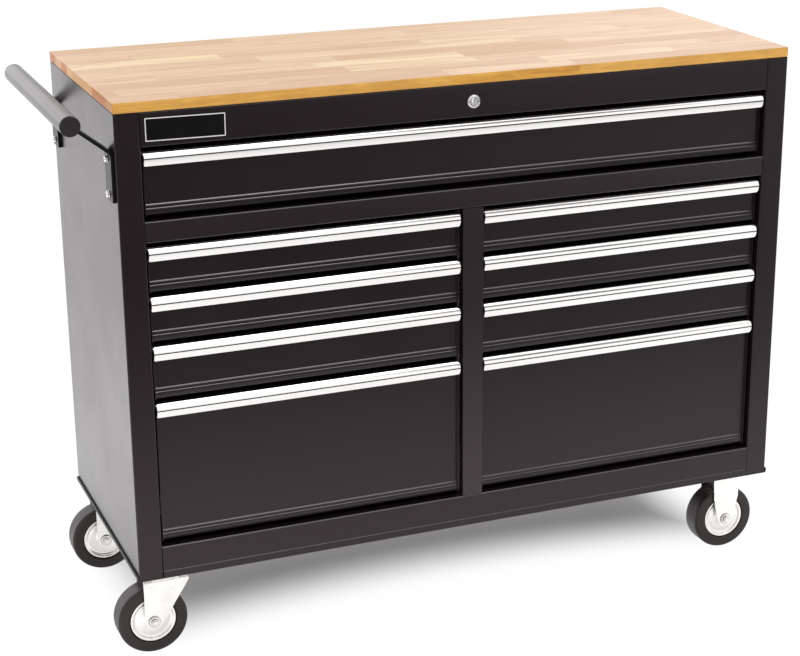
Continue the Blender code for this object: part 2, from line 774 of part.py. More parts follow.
def build_strap(name, parent, middle):
    edges = (middle - STRAP_WIDTH / 2, middle + STRAP_WIDTH / 2)
    mesh = make_mesh(name, [prism(strap_outline(), "Y", *edges)])
    item = place(name, mesh, BLACK_STRAP, parent)
    seat = (edges[0] - SEAT, edges[1] + SEAT)
    cut(item, "tube_seat", [rod((TUBE_X, TUBE_Z), "Y", TUBE_RADIUS + SEAT, *seat, ROUND_STEPS)])
    hole = BOLT_RADIUS + BOLT_CLEARANCE
    reach = (-SIDE - STRAP_THICKNESS * 2, -SIDE + STRAP_THICKNESS)
    holes = [rod((middle, TOP - drop), "X", hole, *reach, TINY_ROUND_STEPS) for drop in bolt_drops()]
    cut(item, "bolt_holes", holes)


def build_handle(parent):
    start = FRONT + TUBE_INSET
    tube_start = start + CAP_THICKNESS + SEAT
    centre = (TUBE_X, TUBE_Z)
    bore = TUBE_RADIUS - TUBE_WALL
    ring = [(TUBE_RADIUS, tube_start), (TUBE_RADIUS, -tube_start), (bore, -tube_start), (bore, tube_start)]
    mesh = make_mesh("handle_tube", [turned(ring, "Y", centre, ROUND_STEPS)], True)
    place("handle_tube", mesh, TUBE_PAINT, parent)
    plug = bore - SEAT
    cap = [
        (0, start),
        (TUBE_RADIUS - CAP_EDGE, start),
        (TUBE_RADIUS, start + CAP_EDGE),
        (TUBE_RADIUS, start + CAP_THICKNESS),
        (plug, start + CAP_THICKNESS),
        (plug, start + CAP_THICKNESS + CAP_PLUG),
        (0, start + CAP_THICKNESS + CAP_PLUG),
    ]
    for name, hand in (("front_handle_cap", 1), ("rear_handle_cap", -1)):
        profile = [(radius, hand * height) for radius, height in cap]
        mesh = make_mesh(name, [turned(profile, "Y", centre, ROUND_STEPS)], True)
        place(name, mesh, CAP_PLASTIC, parent)
    for name, middle in zip(("front_handle_bracket", "rear_handle_bracket"), strap_middles()):
        build_strap(name, parent, middle)


def bolt_profile():
    # From the tip to the socket in the head, along the bolt
    tip = -SIDE + CABINET_SHEET + WELD_NUT_HEIGHT
    seat = -SIDE - SEAT * 2 - STRAP_THICKNESS
    washer = seat - BOLT_WASHER_THICKNESS
    head = washer - BOLT_HEAD_HEIGHT
    return [
        (0, tip),
        (BOLT_RADIUS, tip),
        (BOLT_RADIUS, seat),
        (BOLT_WASHER_RADIUS, seat),
        (BOLT_WASHER_RADIUS, washer),
        (BOLT_HEAD_RADIUS, washer),
        (BOLT_HEAD_RADIUS, head + BOLT_HEAD_EDGE),
        (BOLT_HEAD_RADIUS - BOLT_HEAD_EDGE, head),
        (BOLT_SOCKET_RADIUS, head),
        (BOLT_SOCKET_RADIUS, head + BOLT_SOCKET_DEPTH),
        (0, head + BOLT_SOCKET_DEPTH),
    ]


def build_bolts(parent):
    mesh = make_mesh("handle_bolt", [turned(bolt_profile(), "X", (0, 0), TINY_ROUND_STEPS)], True)
    for end, middle in zip(("front", "rear"), strap_middles()):
        for level, drop in zip(("upper", "lower"), bolt_drops()):
            name = end + "_" + level + "_handle_bolt"
            place(name, mesh, ZINC, parent, (0, middle, TOP - drop))


def build_lock(parent):
    body = make_empty("lock_turn", (0, FRONT, LOCK_Z), parent)
    bore = LOCK_PLUG_RADIUS + SEAT
    nut = CABINET_SHEET + SEAT
    profile = [
        (bore, -LOCK_BEZEL_PROUD),
        (LOCK_BEZEL_RADIUS - LOCK_BEZEL_EDGE, -LOCK_BEZEL_PROUD),
        (LOCK_BEZEL_RADIUS, -LOCK_BEZEL_PROUD + LOCK_BEZEL_EDGE),
        (LOCK_BEZEL_RADIUS, -SEAT),
        (LOCK_BARREL_RADIUS, -SEAT),
        (LOCK_BARREL_RADIUS, nut),
        (LOCK_NUT_RADIUS, nut),
        (LOCK_NUT_RADIUS, nut + LOCK_NUT_THICKNESS),
        (LOCK_BARREL_RADIUS, nut + LOCK_NUT_THICKNESS),
        (LOCK_BARREL_RADIUS, LOCK_BARREL_DEPTH),
        (bore, LOCK_BARREL_DEPTH),
    ]
    mesh = make_mesh("lock_housing", [turned(profile, "Y", (0, 0), SMALL_ROUND_STEPS)], True)
    place("lock_housing", mesh, CHROME, parent, (0, FRONT, LOCK_Z))
    face = -LOCK_BEZEL_PROUD + LOCK_PLUG_RECESS
    collar = LOCK_BARREL_DEPTH + SEAT
    plug = [
        (0, face),
        (LOCK_PLUG_RADIUS, face),
        (LOCK_PLUG_RADIUS, collar),
        (LOCK_COLLAR_RADIUS, collar),
        (LOCK_COLLAR_RADIUS, collar + LOCK_COLLAR_THICKNESS),
        (0, collar + LOCK_COLLAR_THICKNESS),
    ]
    mesh = make_mesh("lock_cylinder", [turned(plug, "Y", (0, 0), SMALL_ROUND_STEPS)], True)
    item = place("lock_cylinder", mesh, CHROME, body)
    slot = KEY_SLOT_WIDTH / 2
    tall = KEY_SLOT_HEIGHT / 2
    low = (-slot, -LOCK_BEZEL_PROUD, -tall)
    high = (slot, face + KEY_SLOT_DEPTH, tall)
    cut(item, "key_slot", [box(low, high)])
    start = collar + LOCK_COLLAR_THICKNESS - EMBED
    half = CAM_WIDTH / 2
    tip = disc((CAM_REACH - half, 0), half, END_ARC_STEPS * 2)
    rounded = [pair for pair in tip if pair[0] >= CAM_REACH - half - EMBED]
    rounded.sort(key=lambda pair: pair[1])
    outline = [(-half, -half)] + rounded + [(-half, half)]
    joined(item, "cam", [prism(outline, "Y", start, start + CAM_THICKNESS)])


def leg_outline(half, straight, axle_x):
    # A fork leg: square at the crown, then narrowing to a round end at the axle
    end = (axle_x, -AXLE_DROP)
    outline = [(-half, straight[0]), (-half, straight[1])]
    arc = []
    for hand, corner in ((-1, outline[1]), (1, (half, straight[2]))):
        gap = hypot(corner[0] - end[0], corner[1] - end[1])
        lean = atan2(corner[1] - end[1], corner[0] - end[0])
        arc.append(lean - hand * acos(LEG_END_RADIUS / gap))
    start, stop = arc[0], arc[1]
    while stop < start:
        stop += 2 * pi
    for step in range(END_ARC_STEPS + 1):
        angle = start + (stop - start) * step / END_ARC_STEPS
        outline.append(shifted(end, (cos(angle), sin(angle)), LEG_END_RADIUS))
    outline.append((half, straight[2]))
    outline.append((half, straight[0]))
    return outline


def fork_section(top):
    # Two legs and the crown between them, seen from the end
    foot = -AXLE_DROP - LEG_END_RADIUS * 2
    points = [(LEG_OUTER, foot), (LEG_OUTER, top), (-LEG_OUTER, top), (-LEG_OUTER, foot)]
    return fold(points, LEG_THICKNESS, LEG_BEND, BEND_STEPS + 1)


def plate_outline():
    long, wide, corner = PLATE_LENGTH / 2, PLATE_WIDTH / 2, PLATE_CORNER
    corners = [(long - corner, wide), (long, wide - corner), (long, -wide + corner), (long - corner, -wide)]
    return corners + [(-x, y) for x, y in corners[::-1]]


def axle_hole(axle_x):
    reach = LEG_OUTER * 2
    return rod((axle_x, -AXLE_DROP), "Y", AXLE_RADIUS + SEAT, -reach, reach, TINY_ROUND_STEPS)


def both_ends(profile):
    # A profile from its middle out to one end, with the other end as its mirror image
    return profile + [(radius, -height) for radius, height in profile[::-1]]


def make_tyre():
    half = TYRE_WIDTH / 2
    seat = HUB_RADIUS + SEAT
    bend = TYRE_SHOULDER
    profile = [(seat, half - TYRE_SEAT_EDGE * 2), (seat + TYRE_SEAT_EDGE, half)]
    for step in range(SHOULDER_STEPS + 1):
        angle = pi / 2 - pi / 2 * step / SHOULDER_STEPS
        profile.append((WHEEL_RADIUS - bend + bend * cos(angle), half - bend + bend * sin(angle)))
    return make_mesh("tyre", [turned(both_ends(profile), "Y", (0, 0), ROUND_STEPS)], True)


def make_hub():
    # A dished disc between a rim and a boss that spaces the wheel between the legs
    edge = TYRE_WIDTH / 2 - HUB_INSET
    boss = TYRE_WIDTH / 2 + LEG_CLEARANCE - SEAT
    profile = [
        (AXLE_RADIUS + SEAT, boss),
        (HUB_BOSS_RADIUS, boss),
        (HUB_BOSS_RADIUS + HUB_BOSS_FLARE, edge - HUB_DISH),
        (HUB_RADIUS - HUB_RIM, edge - HUB_DISH),
        (HUB_RADIUS - HUB_LIP, edge),
        (HUB_RADIUS, edge),
    ]
    return make_mesh("hub", [turned(both_ends(profile), "Y", (0, 0), ROUND_STEPS)], True)


def make_axle():
    # A bolt with a flanged head at each end
    seat = LEG_OUTER + SEAT
    flange = seat + AXLE_FLANGE_THICKNESS
    end = flange + AXLE_HEAD_HEIGHT
    profile = [
        (0, end),
        (AXLE_HEAD_RADIUS - AXLE_HEAD_EDGE, end),
        (AXLE_HEAD_RADIUS, end - AXLE_HEAD_EDGE),
        (AXLE_HEAD_RADIUS, flange),
        (AXLE_FLANGE_RADIUS, flange),
        (AXLE_FLANGE_RADIUS, seat),
        (AXLE_RADIUS, seat),
    ]
    return make_mesh("axle", [turned(both_ends(profile), "Y", (0, 0), TINY_ROUND_STEPS)], True)


def place_wheel(name, parent, carrier, axle_x, meshes):
    spot = (axle_x, 0, -AXLE_DROP)
    place(name + "_axle", meshes["axle"], ZINC, carrier, spot)
    spin = make_empty(name + "_wheel", spot, carrier)
    place(name + "_hub", meshes["hub"], ZINC, spin)
    place(name + "_tyre", meshes["tyre"], RUBBER, spin)


def build_swivel_caster(name, parent, spot, meshes):
    # The frame stands on the kingpin, in the plane of the cabinet's underside
    base = make_empty(name + "_caster", spot, parent)
    under = -SEAT - PLATE_THICKNESS
    race = under - RACE_DEPTH
    crown_under = -CROWN_DROP - LEG_THICKNESS
    head = crown_under - SEAT
    pin = [
        (0, under + EMBED),
        (RACE_RADIUS, under + EMBED),
        (RACE_RADIUS, race + EMBED),
        (RACE_RADIUS - EMBED, race),
        (KINGPIN_RADIUS, race),
        (KINGPIN_RADIUS, head),
        (KINGPIN_HEAD_RADIUS, head),
        (KINGPIN_HEAD_RADIUS, head - KINGPIN_HEAD_HEIGHT / 2),
        (KINGPIN_RADIUS, head - KINGPIN_HEAD_HEIGHT),
        (0, head - KINGPIN_HEAD_HEIGHT),
    ]
    label = name + "_caster_plate"
    item = place(label, make_mesh(label, [prism(plate_outline(), "Z", under, -SEAT)]), ZINC, base)
    joined(item, "race_and_kingpin", [turned(pin, "Z", (0, 0), SMALL_ROUND_STEPS + 4)])
    turn = make_empty(name + "_swivel", (0, 0, 0), base)
    label = name + "_fork"
    fork = make_mesh(label, [prism(fork_section(-CROWN_DROP), "X", -CROWN_HALF_LENGTH, CROWN_HALF_LENGTH)])
    item = place(label, fork, ZINC, turn)
    levels = (0, -CROWN_DROP - LEG_BEND, -CROWN_DROP - CROWN_EDGE_HEIGHT)
    outline = leg_outline(CROWN_HALF_LENGTH + EMBED, levels, -SWIVEL_TRAIL)
    reach = LEG_OUTER * 2
    tool(item, "leg_shape", [prism(outline, "Y", -reach, reach)], "INTERSECT")
    cup = [
        (CUP_RADIUS - CUP_WALL, race - SEAT),
        (CUP_RADIUS, race - SEAT),
        (CUP_RADIUS + CUP_WALL / 2, -CROWN_DROP - EMBED),
        (CUP_RADIUS - CUP_WALL * 2, -CROWN_DROP - EMBED),
    ]
    joined(item, "race_cup", [turned(cup, "Z", (0, 0), SMALL_ROUND_STEPS + 4)])
    hole = rod((0, 0), "Z", KINGPIN_RADIUS + SEAT, crown_under - PLATE_THICKNESS, race, TINY_ROUND_STEPS)
    cut(item, "pin_holes", [hole, axle_hole(-SWIVEL_TRAIL)])
    place_wheel(name, base, turn, -SWIVEL_TRAIL, meshes)


def build_rigid_caster(name, parent, spot, meshes):
    base = make_empty(name + "_caster", spot, parent)
    under = -SEAT - PLATE_THICKNESS
    label = name + "_caster_bracket"
    half = RIGID_HALF_LENGTH
    section = fork_section(under + EMBED)
    item = place(label, make_mesh(label, [prism(section, "X", -half, half)]), ZINC, base)
    outline = leg_outline(half + EMBED, (0, -RIGID_STRAIGHT, -RIGID_STRAIGHT), 0)
    reach = LEG_OUTER * 2
    tool(item, "leg_shape", [prism(outline, "Y", -reach, reach)], "INTERSECT")
    joined(item, "plate", [prism(plate_outline(), "Z", under, -SEAT)])
    cut(item, "axle_holes", [axle_hole(0)])
    place_wheel(name, base, base, 0, meshes)


def build_casters(parent):
    meshes = {"tyre": make_tyre(), "hub": make_hub(), "axle": make_axle()}
    x, y = SIDE - SWIVEL_SIDE_INSET, -FRONT - SWIVEL_END_INSET
    build_swivel_caster("front_left", parent, (-x, -y, FLOOR), meshes)
    build_swivel_caster("rear_left", parent, (-x, y, FLOOR), meshes)
    x, y = SIDE - RIGID_SIDE_INSET, -FRONT - RIGID_END_INSET
    build_rigid_caster("front_right", parent, (x, -y, FLOOR), meshes)
    build_rigid_caster("rear_right", parent, (x, y, FLOOR), meshes)


def main():
    clear_scene()
    origin = make_empty("cart", (-ORIGIN_X, -ORIGIN_Y, 0))
    build_worktop(origin)
    build_side("left_side_panel", origin, True)
    build_side("right_side_panel", origin, False)
    build_back(origin)
    build_top_rail(origin)
    build_middle_rail(origin)
    build_base(origin)
    build_divider(origin)
    build_racks(origin)
    for drawer in drawer_list():
        build_drawer(origin, *drawer)
    build_handle(origin)
    build_bolts(origin)
    build_lock(origin)
    build_casters(origin)
    bpy.context.view_layer.update()


main()
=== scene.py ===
import json
from math import cos, pi, radians, sin, sqrt

import bmesh
import bpy
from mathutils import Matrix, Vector


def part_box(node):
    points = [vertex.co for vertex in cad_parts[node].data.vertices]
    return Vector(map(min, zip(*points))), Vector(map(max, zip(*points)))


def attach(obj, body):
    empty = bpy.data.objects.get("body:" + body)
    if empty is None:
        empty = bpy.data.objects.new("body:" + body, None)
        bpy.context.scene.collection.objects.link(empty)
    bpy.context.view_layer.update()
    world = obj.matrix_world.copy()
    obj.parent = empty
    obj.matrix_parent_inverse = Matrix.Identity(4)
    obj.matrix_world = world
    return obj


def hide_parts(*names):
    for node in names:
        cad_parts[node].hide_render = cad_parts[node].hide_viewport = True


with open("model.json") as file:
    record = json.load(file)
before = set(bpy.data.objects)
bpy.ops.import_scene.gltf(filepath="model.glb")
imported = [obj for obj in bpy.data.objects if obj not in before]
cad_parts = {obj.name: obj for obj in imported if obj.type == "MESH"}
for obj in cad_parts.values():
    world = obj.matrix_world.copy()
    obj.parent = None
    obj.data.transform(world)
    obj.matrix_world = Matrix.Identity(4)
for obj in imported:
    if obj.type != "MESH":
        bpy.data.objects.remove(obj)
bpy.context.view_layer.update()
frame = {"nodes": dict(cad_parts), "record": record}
# Each node's finish slot and the body that it moves with
SLOTS = {part["node"]: part["material_slot"] for part in frame["record"]["subparts"]}
BODIES = {node: body for body, nodes in frame["record"]["behaviour"]["bodies"].items() for node in nodes}

# The cabinet's middle in the shared frame, and its front plane
MIDDLE = Vector((0.03795, 0.0015, 0.0))
FRONT = -0.2240


# Shader nodes

def node(tree, kind, inputs=None, **props):
    made = tree.nodes.new(kind)
    for key, value in props.items():
        setattr(made, key, value)
    for key, value in (inputs or {}).items():
        socket = made.inputs[key]
        if isinstance(value, bpy.types.NodeSocket):
            tree.links.new(value, socket)
        else:
            socket.default_value = value
    return made


def calc(tree, operation, *values):
    return node(tree, "ShaderNodeMath", dict(enumerate(values)), operation=operation).outputs[0]


def product(tree, first, *others):
    for other in others:
        first = calc(tree, "MULTIPLY", first, other)
    return first


def flip(tree, value):
    return calc(tree, "SUBTRACT", 1.0, value)


def spread(tree, value, low, high, to_low, to_high, smooth=False):
    # Carries the range from low to high over to another, and holds it there at both ends
    made = node(tree, "ShaderNodeMapRange", {0: value, 1: low, 2: high, 3: to_low, 4: to_high})
    made.interpolation_type = "SMOOTHSTEP" if smooth else "LINEAR"
    made.clamp = True
    return made.outputs[0]


def blend(tree, share, first, second):
    made = node(tree, "ShaderNodeMix", data_type="RGBA")
    for index, value in ((0, share), (6, first), (7, second)):
        socket = made.inputs[index]
        if isinstance(value, bpy.types.NodeSocket):
            tree.links.new(value, socket)
        else:
            socket.default_value = value
    return made.outputs[2]


def noise(tree, vector, scale, detail=2.0, roughness=0.5, distortion=0.0):
    inputs = {"Vector": vector, "Scale": scale, "Detail": detail, "Roughness": roughness,
              "Distortion": distortion}
    return node(tree, "ShaderNodeTexNoise", inputs).outputs[0]


def stretched(tree, vector, scale):
    return node(tree, "ShaderNodeMapping", {"Vector": vector, "Scale": scale}).outputs[0]


def ramp(tree, value, stops):
    made = node(tree, "ShaderNodeValToRGB", {0: value})
    band = made.color_ramp
    while len(band.elements) < len(stops):
        band.elements.new(0.5)
    for element, (place, colour) in zip(band.elements, stops):
        element.position = place
        element.color = (*colour, 1.0)
    return made.outputs[0]


def bump(tree, height, distance):
    return node(tree, "ShaderNodeBump", {"Height": height, "Distance": distance}).outputs[0]


def linear(red, green, blue):
    # A colour from 0 to 255 as the shader wants it
    def one(value):
        value = value / 255
        return value / 12.92 if value <= 0.04045 else ((value + 0.055) / 1.055) ** 2.4
    return (one(red), one(green), one(blue))


def rgba(colour, gain=1.0):
    return (*[part * gain for part in colour], 1.0)


def new_material(name):
    made = bpy.data.materials.new(name)
    made.use_nodes = True
    tree = made.node_tree
    shader = tree.nodes["Principled BSDF"]
    coordinates = tree.nodes.new("ShaderNodeTexCoord").outputs["Object"]
    return made, tree, shader, coordinates


def wire(tree, shader, **sockets):
    names = {"colour": "Base Color", "roughness": "Roughness", "normal": "Normal"}
    for key, value in sockets.items():
        tree.links.new(value, shader.inputs[names[key]])


# Finishes

def powder_coat(name, colour, rough, peel, level=0.5, gloss=(1.0, 1.0, 1.0), ior=1.5):
    # Baked powder: nearly even colour, soft cloudy gloss and a fine orange peel
    made, tree, shader, place = new_material(name)
    cloud = noise(tree, place, 7.0, 3.0)
    tone = blend(tree, cloud, rgba(colour, 0.86), rgba(colour, 1.14))
    fine = noise(tree, place, 420.0, 2.0, 0.6)
    roughness = calc(tree, "ADD", spread(tree, cloud, 0.3, 0.7, rough[0], rough[1]),
                     spread(tree, fine, 0.3, 0.7, -0.02, 0.02))
    shader.inputs["Specular IOR Level"].default_value = level
    shader.inputs["Specular Tint"].default_value = rgba(gloss)
    shader.inputs["IOR"].default_value = ior
    wire(tree, shader, colour=tone, roughness=roughness, normal=bump(tree, fine, peel))
    return made


def brushed_aluminium():
    # Drawn and brushed along X
    made, tree, shader, place = new_material("brushed_aluminium")
    shader.inputs["Metallic"].default_value = 1.0
    line = noise(tree, stretched(tree, place, (2.5, 900.0, 900.0)), 1.0, 3.0, 0.65)
    broad = noise(tree, stretched(tree, place, (3.0, 120.0, 120.0)), 1.0, 2.0)
    tone = blend(tree, line, rgba((0.84, 0.835, 0.82)), rgba((0.95, 0.945, 0.93)))
    roughness = calc(tree, "ADD", spread(tree, line, 0.25, 0.75, 0.09, 0.14),
                     spread(tree, broad, 0.3, 0.7, -0.02, 0.03))
    wire(tree, shader, colour=tone, roughness=roughness, normal=bump(tree, line, 0.000008))
    return made


def plated(name, colour, rough, dull):
    # Bright plating on pressed steel, a little uneven
    made, tree, shader, place = new_material(name)
    shader.inputs["Metallic"].default_value = 1.0
    patch = noise(tree, place, 38.0, 3.0)
    grain = noise(tree, place, 520.0, 2.0)
    tone = blend(tree, spread(tree, patch, 0.3, 0.7, 0.0, 1.0), rgba(colour), rgba(dull))
    roughness = calc(tree, "ADD", spread(tree, patch, 0.3, 0.7, rough[0], rough[1]),
                     spread(tree, grain, 0.3, 0.7, -0.015, 0.015))
    wire(tree, shader, colour=tone, roughness=roughness, normal=bump(tree, grain, 0.000006))
    return made


def rubber():
    # Tyre rubber, nearly black, its gloss a little cloudy
    made, tree, shader, place = new_material("tyre_rubber")
    patch = noise(tree, place, 45.0, 3.0)
    grain = noise(tree, place, 900.0, 2.0, 0.7)
    tone = blend(tree, patch, rgba((0.0125, 0.0080, 0.0078)), rgba((0.018, 0.0118, 0.0115)))
    shader.inputs["Specular IOR Level"].default_value = 0.44
    roughness = spread(tree, patch, 0.25, 0.75, 0.36, 0.50)
    wire(tree, shader, colour=tone, roughness=roughness, normal=bump(tree, grain, 0.00003))
    return made


def plastic(name, colour, rough):
    # Moulded plastic or paint with a fine grain
    made, tree, shader, place = new_material(name)
    patch = noise(tree, place, 60.0, 2.0)
    grain = noise(tree, place, 1100.0, 2.0)
    tone = blend(tree, patch, rgba(colour, 0.85), rgba(colour, 1.15))
    roughness = spread(tree, patch, 0.3, 0.7, rough - 0.05, rough + 0.05)
    wire(tree, shader, colour=tone, roughness=roughness, normal=bump(tree, grain, 0.00002))
    return made


# The worktop: half its depth, the width of a strip and the length of a block along it, in metres, and where
# its last strip ends, in strips
HALF_DEPTH = 0.2255
STRIP_WIDTH = 0.0451
BLOCK_LENGTH = 0.33
LAST_STRIP = 9.99
# How far from the middle of a strip or block, as a share of it, the glue shows
GLUE_LINE = 0.4915
BLOCK_LINE = 0.4986


def strip_wood():
    # Glued strips along X, each made of end-jointed blocks, with the end grain on the short sides
    made, tree, shader, place = new_material("strip_wood")
    from_middle = {"Vector": place, "Location": (-MIDDLE.x, -MIDDLE.y, 0)}
    local = node(tree, "ShaderNodeMapping", from_middle).outputs[0]
    x, y = node(tree, "ShaderNodeSeparateXYZ", {0: local}).outputs[:2]
    across = calc(tree, "DIVIDE", calc(tree, "ADD", y, HALF_DEPTH), STRIP_WIDTH)
    strip = calc(tree, "FLOOR", calc(tree, "MINIMUM", calc(tree, "MAXIMUM", across, 0.01), LAST_STRIP))
    in_strip = calc(tree, "SUBTRACT", across, strip)
    # Each strip starts its blocks somewhere else, and the blocks differ in length
    seed = {"W": calc(tree, "ADD", strip, 3.7)}
    offset = node(tree, "ShaderNodeTexWhiteNoise", seed, noise_dimensions="1D").outputs["Value"]
    phase = calc(tree, "ADD", calc(tree, "MULTIPLY", x, 7.0), calc(tree, "MULTIPLY", offset, 40.0))
    bend = calc(tree, "MULTIPLY", calc(tree, "SINE", phase), 0.22)
    start = calc(tree, "ADD", calc(tree, "DIVIDE", x, BLOCK_LENGTH), calc(tree, "MULTIPLY", offset, 7.0))
    along = calc(tree, "ADD", start, bend)
    block = calc(tree, "FLOOR", along)
    in_block = calc(tree, "SUBTRACT", along, block)
    # Every block has its own colour and its own piece of grain
    key = node(tree, "ShaderNodeCombineXYZ", {0: strip, 1: block, 2: 1.3}).outputs[0]
    pick = node(tree, "ShaderNodeTexWhiteNoise", {"Vector": key}, noise_dimensions="3D")
    tint = node(tree, "ShaderNodeSeparateColor", {0: pick.outputs["Color"]})
    value, hue, turn = tint.outputs
    jump = node(tree, "ShaderNodeCombineXYZ", {0: calc(tree, "MULTIPLY", value, 9.0),
                                              1: calc(tree, "MULTIPLY", hue, 9.0),
                                              2: calc(tree, "MULTIPLY", turn, 9.0)}).outputs[0]
    moved = node(tree, "ShaderNodeVectorMath", {0: local, 1: jump}, operation="ADD").outputs[0]
    figure = noise(tree, stretched(tree, moved, (3.2, 46.0, 46.0)), 1.0, 4.0, 0.55, 0.9)
    streak = noise(tree, stretched(tree, moved, (9.0, 330.0, 330.0)), 1.0, 3.0, 0.6)
    pore = noise(tree, stretched(tree, moved, (95.0, 1500.0, 1500.0)), 1.0, 1.0, 0.5)
    pale = linear(230, 199, 162)
    mid = linear(219, 183, 142)
    tan = linear(200, 158, 112)
    pink = linear(206, 164, 130)
    cream = linear(242, 218, 172)
    base = ramp(tree, value, [(0.0, tan), (0.22, mid), (0.62, pale), (1.0, cream)])
    base = blend(tree, calc(tree, "MULTIPLY", calc(tree, "POWER", hue, 2.0), 0.42), base, rgba(pink))
    base = blend(tree, spread(tree, figure, 0.40, 0.72, 0.0, 0.55), base, rgba(linear(190, 144, 98)))
    base = blend(tree, spread(tree, streak, 0.50, 0.78, 0.0, 0.46), base, rgba(linear(170, 120, 76)))
    base = blend(tree, spread(tree, pore, 0.66, 0.78, 0.0, 0.30), base, rgba(linear(150, 100, 58)))
    # Front and back edges are the strips' sides, deeper in colour
    facing = node(tree, "ShaderNodeSeparateXYZ", {0: node(tree, "ShaderNodeNewGeometry").outputs["Normal"]})
    front = calc(tree, "GREATER_THAN", calc(tree, "ABSOLUTE", facing.outputs[1]), 0.6)
    end = calc(tree, "GREATER_THAN", calc(tree, "ABSOLUTE", facing.outputs[0]), 0.6)
    edge = ramp(tree, figure, [(0.25, linear(252, 196, 90)), (0.5, linear(236, 170, 62)),
                               (0.75, linear(206, 134, 38))])
    edge = blend(tree, spread(tree, streak, 0.45, 0.75, 0.0, 0.45), edge, rgba(linear(180, 112, 30)))
    mottle = noise(tree, stretched(tree, moved, (22.0, 170.0, 170.0)), 1.0, 3.0, 0.65)
    edge = blend(tree, spread(tree, mottle, 0.48, 0.70, 0.0, 0.60), edge, rgba(linear(178, 112, 30)))
    edge = blend(tree, spread(tree, mottle, 0.30, 0.46, 0.50, 0.0), edge, rgba(linear(255, 210, 104)))
    edge = blend(tree, calc(tree, "MULTIPLY", flip(tree, value), 0.45), edge, rgba(linear(252, 206, 118)))
    # End grain shows rings across each strip
    ring = node(tree, "ShaderNodeTexWave", {
        "Vector": stretched(tree, moved, (1.0, 60.0, 90.0)), "Scale": 1.4, "Distortion": 3.0,
        "Detail": 2.0, "Detail Scale": 1.2}, wave_type="RINGS", rings_direction="X").outputs[1]
    butt = ramp(tree, value, [(0.0, linear(190, 106, 46)), (0.22, linear(206, 128, 66)),
                              (0.30, linear(224, 170, 112)), (1.0, linear(238, 192, 136))])
    butt = blend(tree, spread(tree, ring, 0.2, 0.8, 0.0, 0.30), butt, rgba(linear(196, 132, 84)))
    base = blend(tree, front, base, edge)
    base = blend(tree, end, base, butt)
    # Thin glue lines: between strips on the top and the ends, between blocks on the top alone
    half = calc(tree, "ABSOLUTE", calc(tree, "SUBTRACT", in_strip, 0.5))
    glue = calc(tree, "GREATER_THAN", half, GLUE_LINE)
    half_block = calc(tree, "ABSOLUTE", calc(tree, "SUBTRACT", in_block, 0.5))
    joint = calc(tree, "GREATER_THAN", half_block, BLOCK_LINE)
    seam = calc(tree, "MAXIMUM", calc(tree, "MULTIPLY", glue, flip(tree, front)),
                calc(tree, "MULTIPLY", joint, flip(tree, calc(tree, "MAXIMUM", end, front))))
    base = blend(tree, calc(tree, "MULTIPLY", seam, 0.34), base, rgba(linear(150, 98, 54)))
    roughness = spread(tree, streak, 0.3, 0.7, 0.34, 0.46)
    height = calc(tree, "SUBTRACT", calc(tree, "MULTIPLY", streak, 0.5), seam)
    wire(tree, shader, colour=base, roughness=roughness, normal=bump(tree, height, 0.00004))
    return made


# The black coat: its colours, the warm tint of its gloss, its roughness and the depth of its orange peel
BLACK = (0.0098, 0.0058, 0.0066)
FOLD_BLACK = (0.0098, 0.0088, 0.0088)
WARM = (1.0, 0.90, 0.94)
COAT_ROUGH = (0.20, 0.26)
PEEL = 0.000008

FINISH = {
    "wood": strip_wood(),
    "black_paint": powder_coat("black_powder_coat", BLACK, COAT_ROUGH, PEEL, 0.46, WARM),
    "strap_paint": powder_coat("strap_powder_coat", (0.0036, 0.0029, 0.0030), (0.30, 0.38), 0.000015, 0.24),
    # The tube's coat is dark grey, lighter than the black coat: a painted reflection for the grey sheen of a
    # black tube
    "tube_paint": powder_coat("tube_powder_coat", (0.054, 0.050, 0.053), (0.24, 0.30), 0.000012),
    "aluminium": brushed_aluminium(),
    "zinc": plated("bright_zinc", (0.95, 0.945, 0.925), (0.20, 0.30), (0.89, 0.88, 0.85)),
    "chrome": plated("satin_chrome", (0.80, 0.80, 0.81), (0.10, 0.18), (0.70, 0.70, 0.71)),
    "rubber": rubber(),
    "cap_plastic": plastic("cap_plastic", (0.0095, 0.0072, 0.0072), 0.46),
}
DRAWER_PAINT = powder_coat("drawer_powder_coat", (0.0108, 0.0074, 0.0080), COAT_ROUGH, PEEL, 0.45,
                           (1.0, 0.94, 0.96))
# Glossier copies of the black coat for narrow folds turned up and forward: a painted highlight that makes
# them catch more of the light from above
FOLD_HIGHLIGHT_PAINT = powder_coat("fold_powder_coat", FOLD_BLACK, COAT_ROUGH, PEEL, 0.88, ior=1.8)
RAIL_FOLD_HIGHLIGHT_PAINT = powder_coat("rail_fold_powder_coat", FOLD_BLACK, COAT_ROUGH, PEEL, 0.56, ior=1.8)
# A glossier copy of the black coat for the middle rail and the divider: a painted reflection that makes them
# read brighter than the drawer fronts
RAIL_SHEEN_PAINT = powder_coat("rail_powder_coat", (0.0100, 0.0060, 0.0068), COAT_ROUGH, PEEL, 0.68, WARM)
LIP_PAINT = powder_coat("lip_powder_coat", (0.0030, 0.0026, 0.0026), (0.36, 0.44), 0.000012, 0.14)
# A darker copy of the zinc for the axle bolt's sides: painted shade
AXLE_SIDE_SHADE_ZINC = plated("axle_side_zinc", (0.40, 0.40, 0.40), (0.20, 0.30), (0.26, 0.26, 0.26))
# A dark matt finish for the pulls' groove floors: a painted shadow
GROOVE = plastic("groove_shadow", (0.050, 0.048, 0.046), 0.60)
WHITE_PAINT = plastic("white_line_paint", (0.86, 0.86, 0.84), 0.42)
LABEL_FACE = plastic("label_film", (0.0042, 0.0038, 0.0038), 0.30)
LABEL_FACE.node_tree.nodes["Principled BSDF"].inputs["Specular IOR Level"].default_value = 0.16


# Meshes

